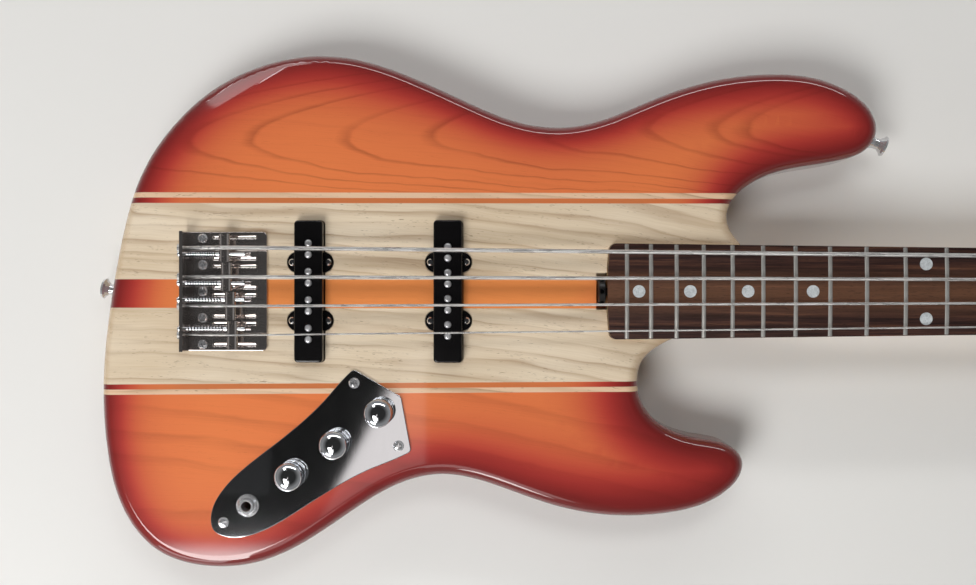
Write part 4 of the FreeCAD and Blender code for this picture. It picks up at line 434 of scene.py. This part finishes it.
def mapleFinish():
    # pale neck with faint rings, a little flame and short flecks
    made, pen, shader = newFinish("maple", {"Coat Weight": 0.6, "Coat Roughness": 0.12})
    place = x, y, z = millimetres(pen).parts()
    drift = pen.grain(place, mapleLook["drift"]) - 0.5
    along = (x, y + z * 0.35 + drift * 14.0, z)
    rings = pen.grain(along, mapleLook["rings"], 4.0, 0.6)
    flecks = pen.above(pen.grain(along, mapleLook["flecks"], 1.0), 0.62, 0.7)
    flame = (x * 0.45 + drift * 9.0).wave() * 0.5 + 0.5
    colour = pen.ramp(rings + flame * 0.05, painted(mapleLook["colours"]))
    colour = pen.mix(colour, paint(*mapleLook["fleck"]), flecks * 0.35)
    feed(shader, {"Base Color": colour,
                  "Roughness": mapleLook["rough"] + (rings - 0.5) * 0.15,
                  "Normal": pen.bump(flecks, mapleLook["relief"], 0.3)})
    return made


plasticLook = {"grain": 2.4, "haze": 0.05, "light": 1.25, "lift": 0.002, "uneven": 0.06, "relief": 0.00001}


def plasticFinish(name, colour, rough):
    # moulded or painted surface with fine grain and haze
    made, pen, shader = newFinish(name, {"Specular IOR Level": 0.5})
    place = millimetres(pen)
    grain = pen.cloud(place, plasticLook["grain"], 3.0, 0.6)
    haze = pen.cloud(place, plasticLook["haze"], 3.0)
    light = shaded(colour, plasticLook["light"], plasticLook["lift"])
    feed(shader, {"Base Color": pen.mix(paint(*colour), light, (haze * 0.8 + grain * 0.3 - 0.1).held()),
                  "Roughness": (grain - 0.5) * plasticLook["uneven"] + (haze - 0.5) * 0.08 + rough,
                  "Normal": pen.bump(grain, plasticLook["relief"], 0.3)})
    return made


inlayLook = {"colours": ((0.3, (178, 183, 184)), (0.55, (204, 209, 211)), (0.75, (222, 225, 224))),
             "swirl": 0.55, "twist": 1.2, "rough": 0.3}


def inlayFinish():
    # pearl dots: soft grey cloud with a faint sheen
    made, pen, shader = newFinish("pearlDot", {"Coat Weight": 0.5, "Coat Roughness": 0.1})
    swirl = pen.cloud(millimetres(pen), inlayLook["swirl"], 4.0, 0.6, inlayLook["twist"])
    feed(shader, {"Base Color": pen.ramp(swirl, painted(inlayLook["colours"])),
                  "Roughness": inlayLook["rough"] + (swirl - 0.5) * 0.2})
    return made


# foam colours run from painted shade in each cell's pit to the lighter cell walls
foamSkin = {"colours": ((0.0, (30, 30, 32)), (0.7, (74, 74, 78))), "cells": 1.1, "rough": 0.85,
            "relief": 0.0004}


def foamFinish():
    # darker at each cell's middle, where the bump sinks it: painted shade in the pits, lighter on the cell
    # walls
    made, pen, shader = newFinish("foamCells", {})
    cells = pen.node("TexVoronoi", {"feature": "F1"},
                     {"Vector": millimetres(pen), "Scale": foamSkin["cells"]}, out="Distance")
    feed(shader, {"Base Color": pen.ramp(cells, painted(foamSkin["colours"])),
                  "Roughness": foamSkin["rough"] + cells * 0.1,
                  "Normal": pen.bump(cells, foamSkin["relief"], 0.8)})
    return made


finishes = {
    "ash_body": bodyFinish(),
    "maple": mapleFinish(),
    "rosewood": rosewoodFinish(),
    "fret_wire": metalFinish("fretWire", (236, 234, 228), 0.22, 0.1, {"Metallic": 0.7}),
    "inlay": inlayFinish(),
    "bone": plasticFinish("bone", (226, 216, 192), 0.35),
    "rod_steel": plasticFinish("blackedSteel", (16, 15, 16), 0.32),
    "chrome": metalFinish("chrome", (232, 234, 238), 0.045),
    # a warm-tinted copy of chrome, partly not metal, for the bridge: its tint and lift are a painted brownish
    # reflection
    "chromeWithPaintedReflection": metalFinish("chromeWithPaintedReflection", (222, 214, 210), 0.07, 0.05, {"Metallic": 0.95}),
    # a lighter copy of chrome, partly not metal, so small hardware reads brighter: painted sheen
    "chromeWithPaintedSheen": metalFinish("chromeWithPaintedSheen", (236, 236, 238), 0.10, 0.06, {"Metallic": 0.78}),
    "string_wire": stringFinish(),
    "spring_steel": metalFinish("springSteel", (128, 128, 131), 0.14, 0.05),
    "black_plastic": plasticFinish("blackPlastic", (7, 6, 7), 0.17),
    "magnet": metalFinish("poleMagnet", (214, 214, 216), 0.3, 0.12, {"Metallic": 0.7}),
    "coil_wire": metalFinish("coilWire", (150, 84, 48), 0.35, 0.1),
    "foam": foamFinish(),
    "cable": plasticFinish("cableJacket", (40, 38, 38), 0.5)}

# nodes that look different from the rest of their slot
# the bridge plate and saddles take the warm chrome copy with painted reflection
ownFinish = {"truss_wheel": "rod_steel", "bridge_plate": "chromeWithPaintedReflection"}
ownFinish.update({"saddle_" + string: "chromeWithPaintedReflection" for string in "eadg"})
# these parts take the lighter chrome copy with painted sheen
for node in ("output_jack", "bridge_screws", "control_plate_screws", "control_nuts", "strap_buttons"):
    ownFinish[node] = "chromeWithPaintedSheen"
for entry in frame["record"]["subparts"]:
    skin = nodes[entry["node"]].data.materials
    skin.clear()
    skin.append(finishes[ownFinish.get(entry["node"], entry["material_slot"])])
print("finishes set on", len(nodes), "nodes")

# shared mesh work: points closer than the weld are one point
meshWork = {"weld": 0.000002, "cutSlack": 1e-7}


def placed(name, data):
    made = bpy.data.objects.new(name, data)
    bpy.context.scene.collection.objects.link(made)
    return made


def mendedCopy(node):
    form = bmesh.new()
    form.from_mesh(nodes[node].data)
    bmesh.ops.remove_doubles(form, verts=form.verts, dist=meshWork["weld"])
    return form


def sliced(form, spot, side, clear=False):
    # cuts along a plane, clears what is beyond it if asked, and gives the cut's edges
    cut = bmesh.ops.bisect_plane(form, geom=form.verts[:] + form.edges[:] + form.faces[:],
                                 dist=meshWork["cutSlack"], plane_co=spot, plane_no=side, clear_outer=clear)
    return [item for item in cut["geom_cut"] if isinstance(item, bmesh.types.BMEdge)]


def smoothShaded(mesh, sharpFrom):
    # smooth shading, with edges sharp from that many degrees on
    mesh.polygons.foreach_set("use_smooth", [True] * len(mesh.polygons))
    mesh.set_sharp_from_angle(angle=math.radians(sharpFrom))


def smoothStep(low, high, value):
    share = min(1.0, max(0.0, (value - low) / (high - low)))
    return share * share * (3 - 2 * share)


def edgeLoop(node, level):
    # the longest closed line where the node's mesh is cut at that height
    form = mendedCopy(node)
    links = {}
    for edge in sliced(form, (0, 0, level), (0, 0, 1)):
        a, b = edge.verts
        links.setdefault(a, []).append(b)
        links.setdefault(b, []).append(a)
    loops, seen = [], set()
    for start in links:
        if start in seen:
            continue
        loop, spot, before = [], start, None
        while spot not in seen:
            seen.add(spot)
            loop.append(spot.co.xy.copy())
            ahead = [v for v in links[spot] if v is not before and v not in seen]
            before, spot = spot, ahead[0] if ahead else spot
        loops.append(loop)
    form.free()
    return max(loops, key=lambda loop: sum((loop[i] - loop[i - 1]).length for i in range(len(loop))))


def outlineSpots():
    loop = edgeLoop("body", bodyLook["outlineAt"])
    spots = []
    for i in range(len(loop)):
        a, b = loop[i - 1], loop[i]
        steps = max(1, int((b - a).length / bodyLook["outlineStep"]))
        spots += [a.lerp(b, s / steps) for s in range(steps)]
    return spots


def outwardWays(spots):
    # the way out of the outline at each of its points, smoothed over a few neighbours
    count, span = len(spots), bodyLook["smoothing"]
    ways = []
    for i in range(count):
        along = spots[(i + span) % count] - spots[i - span]
        ways.append(Vector((along.y, -along.x)).normalized())
    if sum(spots[i - 1].cross(spots[i]) for i in range(count)) < 0:
        ways = [-way for way in ways]
    return ways


def setSheen(form, exactNormal):
    # corner normals: exact on the flat faces and the rounded rim, elsewhere led by the broad faces
    sheen = form.loops.layers.float_vector.new("sheen")
    form.normal_update()
    areas = {face: face.calc_area() ** 2 for face in form.faces}
    exact = {vertex: exactNormal(vertex.co) for vertex in form.verts}
    count = 0
    for face in form.faces:
        for corner in face.loops:
            total = Vector()
            for other in corner.vert.link_faces:
                if other.normal.dot(face.normal) > bodyLook["crease"]:
                    total += other.normal * areas[other]
            lean = total.normalized() if total.length > 0 else face.normal
            better = exact[corner.vert]
            if better and better.dot(lean) > bodyLook["crease"]:
                lean = better
                count += 1
            corner[sheen] = lean
    print("body skin:", count, "corners with exact normals")


def stretchAt(x, y):
    total = 1.0
    for look in bodyLook["stretches"]:
        share = look["share"]
        for value, ranges in ((x, look["x"]), (y, look["y"])):
            for start, end in ranges:
                share *= smoothStep(start, end, value)
        total += share
    return total


def dressedBody():
    # the CAD body's own surface, cut into small cells that carry the distance to its outline
    spots = outlineSpots()
    count = len(spots)
    tree = kdtree.KDTree(count)
    for i, spot in enumerate(spots):
        tree.insert((spot.x, spot.y, 0), i)
    tree.balance()
    outward = outwardWays(spots)
    low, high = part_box("body")
    middle = (low.z + high.z) / 2
    rim = bodyLook["rim"]

    def exactNormal(spot):
        # the true normal on a flat face or the rounded rim, or none where the point is on neither
        rise = min(spot.z - low.z, high.z - spot.z)
        if rise < bodyLook["flatSlack"]:
            return Vector((0, 0, math.copysign(1, spot.z - middle)))
        near = tree.find((spot.x, spot.y, 0))[1]
        best = None
        for i in (near - 1, near):
            start, step = spots[i], spots[(i + 1) % count] - spots[i]
            share = min(1.0, max(0.0, (spot.xy - start).dot(step) / max(step.dot(step), 1e-12)))
            reach = (spot.xy - start - step * share).length
            if best is None or reach < best[0]:
                best = (reach, outward[i].lerp(outward[(i + 1) % count], share).normalized())
        reach, way = best
        if reach > rim or rise > rim:
            return None
        inward, drop = rim - reach, rim - rise
        if abs(math.hypot(inward, drop) - rim) > bodyLook["rimSlack"]:
            return None
        return Vector((way.x * inward, way.y * inward, math.copysign(drop, spot.z - middle))).normalized()

    form = mendedCopy("body")
    setSheen(form, exactNormal)
    for axis in (0, 1):
        cells = int((high[axis] - low[axis]) / bodyLook["cell"])
        for step in range(1, cells):
            spot, side = [0, 0, 0], [0, 0, 0]
            spot[axis] = low[axis] + (high[axis] - low[axis]) * step / cells
            side[axis] = 1
            sliced(form, spot, side)
    mesh = bpy.data.meshes.new("bodyShell")
    form.to_mesh(mesh)
    form.free()
    fromEdge = mesh.attributes.new("fromEdge", "FLOAT", "POINT")
    burstDepth = mesh.attributes.new("burstDepth", "FLOAT", "POINT")
    for vertex in mesh.vertices:
        x, y, z = vertex.co
        reach = tree.find((x, y, 0))[2] * 1000
        fromEdge.data[vertex.index].value = reach
        burstDepth.data[vertex.index].value = reach * stretchAt(x, y)
    mesh.polygons.foreach_set("use_smooth", [True] * len(mesh.polygons))
    mesh.normals_split_custom_set([corner.vector.normalized() for corner in mesh.attributes["sheen"].data])
    mesh.attributes.remove(mesh.attributes["sheen"])
    shell = placed("bodyShell", mesh)
    mesh.materials.append(finishes["ash_body"])
    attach(shell, "instrument")
    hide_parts("body")
    print("body shell:", len(mesh.polygons), "faces, outline of", count, "points")


dressedBody()

# domed knobs with crossed knurling; "inside" is the hollow's (inset from the wall, height)
knobLook = {"teeth": 60, "perTooth": 4, "rowsPerTooth": 4, "depth": 0.00028, "dome": 0.0036, "domeRings": 15,
            "chamfer": 0.0005, "bore": (0.003, 0.006),
            "inside": ((0.0012, 0.0058), (0.001, 0.0002), (0.0006, 0.0)),
            "foot": 0.0003, "knurlFrom": 0.0005, "knurlGap": 0.0001, "sharpFrom": 32}


def latheMesh(name, rings, around):
    # closed skin through rings of (radius or a rule for it, height); a ring of radius 0 is one point
    verts, faces, rows = [], [], []
    for radius, height in rings:
        if radius == 0:
            rows.append([len(verts)])
            verts.append((0, 0, height))
            continue
        rows.append(list(range(len(verts), len(verts) + around)))
        for i in range(around):
            turn = 2 * math.pi * i / around
            reach = radius(i, height) if callable(radius) else radius
            verts.append((reach * math.cos(turn), reach * math.sin(turn), height))
    for lower, upper in zip(rows, rows[1:]):
        for i in range(around):
            j = (i + 1) % around
            if len(upper) == 1:
                faces.append((lower[i], lower[j], upper[0]))
            else:
                faces.append((lower[i], lower[j], upper[j], upper[i]))
    mesh = bpy.data.meshes.new(name)
    mesh.from_pydata(verts, [], faces)
    smoothShaded(mesh, knobLook["sharpFrom"])
    return mesh


def knurledKnob(node, rider):
    low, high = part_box(node)
    radius = (high.x - low.x) / 2
    tall = high.z - low.z
    around = knobLook["teeth"] * knobLook["perTooth"]
    pitch = 2 * math.pi * radius / knobLook["teeth"]
    domeFrom = tall - knobLook["dome"]
    wallTop = domeFrom - knobLook["chamfer"]
    start, gap = knobLook["knurlFrom"], knobLook["knurlGap"]

    def toothed(i, height):
        # two crossing sets of slanted teeth leave small pyramids
        first = (i / knobLook["perTooth"] + height / pitch) % 1.0
        second = (i / knobLook["perTooth"] - height / pitch) % 1.0
        ridge = 1 - max(abs(first - 0.5), abs(second - 0.5)) * 2
        return radius - knobLook["depth"] * (1 - ridge)

    rings = [knobLook["bore"]]
    rings += [(radius - inset, height) for inset, height in knobLook["inside"]]
    rings.append((radius - knobLook["depth"], knobLook["foot"]))
    rows = int(wallTop / pitch * knobLook["rowsPerTooth"])
    rings += [(toothed, start + (wallTop - start - gap) * row / rows) for row in range(rows + 1)]
    rings.append((radius - knobLook["depth"] * 1.1, wallTop + gap))
    rim = radius - knobLook["chamfer"]
    rings.append((rim, domeFrom))
    ball = (rim * rim + knobLook["dome"] ** 2) / (2 * knobLook["dome"])
    for step in range(1, knobLook["domeRings"]):
        reach = rim * math.cos(math.pi / 2 * step / knobLook["domeRings"])
        rings.append((reach, tall - ball + math.sqrt(ball * ball - reach * reach)))
    rings.append((0, tall))
    mesh = latheMesh(node + "Cap", rings, around)
    cap = placed(node + "Cap", mesh)
    cap.location = ((low.x + high.x) / 2, (low.y + high.y) / 2, low.z)
    mesh.materials.append(finishes["chrome"])
    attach(cap, rider)
    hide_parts(node)


stems = ("neck_volume", "bridge_volume", "tone")
for stem in stems:
    knurledKnob(stem + "_knob", stem)
print("knobs:", len(stems))

foamLook = {"cells": 10, "swell": 0.0006, "keep": 0.5, "pinch": 0.012, "topGap": 0.0003, "rough": 0.00012,
            "roughScale": 900, "sharpFrom": 50}


def foamPad(pickup):
    # one block of the hidden foam under a pickup, its sides slightly swollen and its skin uneven
    corners = [v.co for v in nodes["pickup_foam"].data.vertices]
    middle = sum(c.x for c in corners) / len(corners)
    mine = [c for c in corners if (c.x < middle) == (pickup == "bridge_pickup")]
    low = Vector((min(c[i] for c in mine) for i in range(3)))
    high = Vector((max(c[i] for c in mine) for i in range(3)))
    side = 0.499  # points this far from the middle of the unit block are on its skin
    form = bmesh.new()
    bmesh.ops.create_cube(form, size=1.0)
    bmesh.ops.subdivide_edges(form, edges=form.edges[:], cuts=foamLook["cells"], use_grid_fill=True)
    for vertex in form.verts:
        away = vertex.co.copy()
        pinch = 1 - foamLook["pinch"] * (abs(away.x * 2) ** 6 + abs(away.y * 2) ** 6)
        spot = Vector((low[i] + (high[i] - low[i]) * (away[i] * pinch + 0.5) for i in range(3)))
        rough = noise.noise(spot * foamLook["roughScale"]) * foamLook["rough"]
        inward = foamLook["swell"] * (0.6 + 0.4 * abs(away.z * 2) ** 2)
        spot.x -= math.copysign(inward, away.x) if abs(away.x) > side else 0
        spot.y -= math.copysign(inward, away.y) if abs(away.y) > side else 0
        spot.z -= foamLook["topGap"] if away.z > side else 0
        vertex.co = spot + Vector((rough, -rough, 0))
    mesh = bpy.data.meshes.new(pickup + "Foam")
    form.to_mesh(mesh)
    form.free()
    smoothShaded(mesh, foamLook["sharpFrom"])
    pad = placed(pickup + "Foam", mesh)
    mesh.materials.append(finishes["foam"])
    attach(pad, "instrument")
    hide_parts("pickup_foam")
    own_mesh(pad)


foamPad("bridge_pickup")
foamPad("neck_pickup")
print("foam pads set")

# springs and strings at the sliding saddles; a string is split past its saddle, where a slightly thinner end
# slips inside the rest
slideLook = {"past": 0.03, "overlap": 0.0045, "thinFrom": 0.008, "thin": 0.95, "rimSlack": 1e-6,
             "sharpFrom": 35}


def cutOff(form, x, side):
    # takes away all that lies on one side of x and closes the cut
    bmesh.ops.edgeloop_fill(form, edges=sliced(form, (x, 0, 0), (side, 0, 0), True))


def pieceFrom(name, form, slot, node):
    mesh = bpy.data.meshes.new(name)
    form.to_mesh(mesh)
    form.free()
    if "custom_normal" in mesh.attributes:
        mesh.attributes.remove(mesh.attributes["custom_normal"])
    smoothShaded(mesh, slideLook["sharpFrom"])
    mesh.materials.clear()
    mesh.materials.append(finishes[slot])
    piece = placed(name, mesh)
    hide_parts(node)
    return piece


def saddleSpring(string):
    low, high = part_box("saddle_" + string)
    form = mendedCopy("intonation_springs")
    away = [vertex for vertex in form.verts if not low.y < vertex.co.y < high.y]
    bmesh.ops.delete(form, geom=away, context="VERTS")
    piece = pieceFrom("spring" + string.upper(), form, "spring_steel", "intonation_springs")
    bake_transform(piece)


def splitString(string):
    low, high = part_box("saddle_" + string)
    join = high.x + slideLook["past"]
    form = mendedCopy("string_" + string)
    sliced(form, (join - slideLook["thinFrom"], 0, 0), (1, 0, 0))
    cutOff(form, join, 1)
    rim = [vertex for vertex in form.verts if abs(vertex.co.x - join) < slideLook["rimSlack"]]
    middle = sum((vertex.co for vertex in rim), Vector()) / len(rim)
    for vertex in rim:
        vertex.co = middle.lerp(vertex.co, slideLook["thin"])
    anchored = pieceFrom("bridgeEnd" + string.upper(), form, "string_wire", "string_" + string)
    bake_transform(anchored)
    form = mendedCopy("string_" + string)
    cutOff(form, join - slideLook["overlap"], -1)
    speaking = pieceFrom("longRun" + string.upper(), form, "string_wire", "string_" + string)
    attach(speaking, "instrument")


for string in "eadg":
    saddleSpring(string)
    splitString(string)

# pale floor, and a studio that is pale at the horizon and dim overhead
stageLook = {"floor": ((226, 224, 220), (232, 231, 228)), "cloud": 0.002, "reach": 30.0, "gap": 0.0002,
             "horizon": 0.26, "ceiling": 0.028, "fade": (0.3, 0.72)}


def flatSheet(name, corners, height):
    mesh = bpy.data.meshes.new(name)
    mesh.from_pydata([(x, y, height) for x, y in corners], [], [(0, 1, 2, 3)])
    return placed(name, mesh)


reach = stageLook["reach"]
floor = flatSheet("floor", ((-reach, -reach), (reach, -reach), (reach, reach), (-reach, reach)),
                  cadBox[0][2] - stageLook["gap"])
floorFinish, floorPen, floorShader = newFinish("paleFloor", {"Roughness": 0.9, "Specular IOR Level": 0.1})
floorCloud = floorPen.cloud(millimetres(floorPen), stageLook["cloud"], 2.0)
floorDark, floorLight = stageLook["floor"]
feed(floorShader, {"Base Color": floorPen.mix(paint(*floorDark), paint(*floorLight), floorCloud)})
floor.data.materials.append(floorFinish)

world = bpy.data.worlds.new("studio")
world.use_nodes = True
bpy.context.scene.world = world
world.node_tree.nodes.clear()
worldPen = Wire(world.node_tree)
upward = worldPen.node("TexCoord", None, None, out="Generated").parts()[2]
horizon, ceiling = grey(stageLook["horizon"]), grey(stageLook["ceiling"])
fadeFrom, fadeTo = stageLook["fade"]
sky = worldPen.ramp(upward, [(0.0, horizon), (fadeFrom, horizon), (fadeTo, ceiling), (1.0, ceiling)])
glow = worldPen.node("Background", None, {"Color": sky, "Strength": 1.0})
worldOut = world.node_tree.nodes.new("ShaderNodeOutputWorld")
world.node_tree.links.new(glow.socket, worldOut.inputs[0])

# soft boxes; one that isn't mirrored lights without showing in polished faces
slopeRim = (0.015, 0.135, 0.04)  # the spot on the forearm slope's rim that three of them face
softBoxes = {
    "key": {"at": (-0.42, -1.01, 1.50), "toward": (-0.42, -1.01, 0.0), "wide": 1.05, "tall": 1.1,
            "power": 30.0, "mirrored": False},
    "topFill": {"at": (0.42, 0.80, 1.60), "toward": (0.42, 0.80, 0.0), "wide": 1.2, "tall": 0.5,
                "power": 7.4, "mirrored": False},
    "lowFront": {"at": (-0.70, -1.50, 0.58), "toward": (0.10, 0.0, 0.05), "wide": 0.8, "tall": 0.5,
                 "power": 3.2},
    "backLeft": {"at": (-0.95, 1.59, 1.36), "toward": slopeRim, "wide": 0.55, "tall": 0.60, "power": 2.4},
    "backLeftRim": {"at": (-1.06, 1.74, 1.07), "toward": slopeRim, "wide": 0.60, "tall": 0.06, "power": 0.9},
    "backLeftLine": {"at": (-0.81, 1.42, 1.61), "toward": slopeRim, "wide": 0.34, "tall": 0.02, "power": 0.3},
    "backStrip": {"at": (0.40, 1.70, 1.05), "toward": (0.25, 0.0, 0.04), "wide": 2.4, "tall": 0.14,
                  "power": 10.0}}


def softBox(name, look):
    lamp = bpy.data.lights.new(name, "AREA")
    lamp.shape = "RECTANGLE"
    lamp.size, lamp.size_y = look["wide"], look["tall"]
    lamp.energy = look["power"]
    made = placed(name, lamp)
    made.location = look["at"]
    made.rotation_euler = (Vector(look["toward"]) - Vector(look["at"])).to_track_quat("-Z", "Y").to_euler()
    made.visible_camera = False
    made.visible_glossy = look.get("mirrored", True)


for name, look in softBoxes.items():
    softBox(name, look)

# pale overhead cards that polished faces mirror: corners seen from above, then the line
# where the glow starts, how soft that start is near and far, and the glow itself
cardLooks = {
    "plateCard": {"corners": ((-0.30, -0.12), (-0.30, -0.47), (0.0, -0.47), (0.0, -0.12)), "height": 1.50,
                  "from": (-0.062, -0.175), "to": (-0.165, -0.364), "soft": (0.014, 0.10), "glow": 0.86,
                  "colour": (1.0, 0.935, 0.905, 1.0)},
    "edgeCard": {"corners": ((-0.80, -0.38), (-0.80, -2.40), (-0.22, -2.40), (-0.22, -0.38)), "height": 1.44,
                 "from": (-0.2, -0.487), "to": (-0.9, -0.487), "soft": (0.05, 0.0), "glow": 10.0,
                 "colour": (1.0, 0.985, 0.97, 1.0)},
    "keyCard": {"corners": ((-0.21, -0.66), (-0.21, -1.56), (0.12, -1.56), (0.12, -0.66)), "height": 1.42,
                "from": (-0.2, -0.72), "to": (-0.9, -0.72), "soft": (0.10, 0.0), "glow": 1.3,
                "colour": (1.0, 0.985, 0.97, 1.0)}}


def overheadCard(name, look):
    made = flatSheet(name, look["corners"], look["height"])
    finish, pen, shader = newFinish(name + "Glow", {"Base Color": grey(0.02), "Specular IOR Level": 0.0,
                                                    "Emission Strength": look["glow"]})
    x, y, z = pen.node("TexCoord", None, None, out="Object").parts()
    start, end = Vector(look["from"]), Vector(look["to"])
    across = (end - start).normalized().orthogonal()
    past = (x - start.x) * across.x + (y - start.y) * across.y
    near, far = look["soft"]
    along = (y - end.y).most(0.0) * far + near
    share = (past / along + 0.5).held()
    feed(shader, {"Emission Color": pen.ramp(share, [(0.0, grey(0.0)), (1.0, look["colour"])], "EASE")})
    made.data.materials.append(finish)
    made.visible_camera = False
    made.visible_diffuse = False
    made.visible_shadow = False


for name, look in cardLooks.items():
    overheadCard(name, look)
print("stage lit")

cameraLook = {"at": (0.1927, -0.0007, 0.784), "turn": (0.0, 0.0332, 0.0), "lens": 42.30, "sensor": 36.0,
              "nearest": 0.01}
camera = bpy.data.cameras.new("camera")
camera.lens = cameraLook["lens"]
camera.sensor_width = cameraLook["sensor"]
camera.sensor_fit = "HORIZONTAL"
camera.clip_start = cameraLook["nearest"]
viewer = placed("camera", camera)
viewer.location = cameraLook["at"]
viewer.rotation_euler = cameraLook["turn"]
bpy.context.scene.camera = viewer
bpy.context.scene.view_settings.view_transform = "Standard"
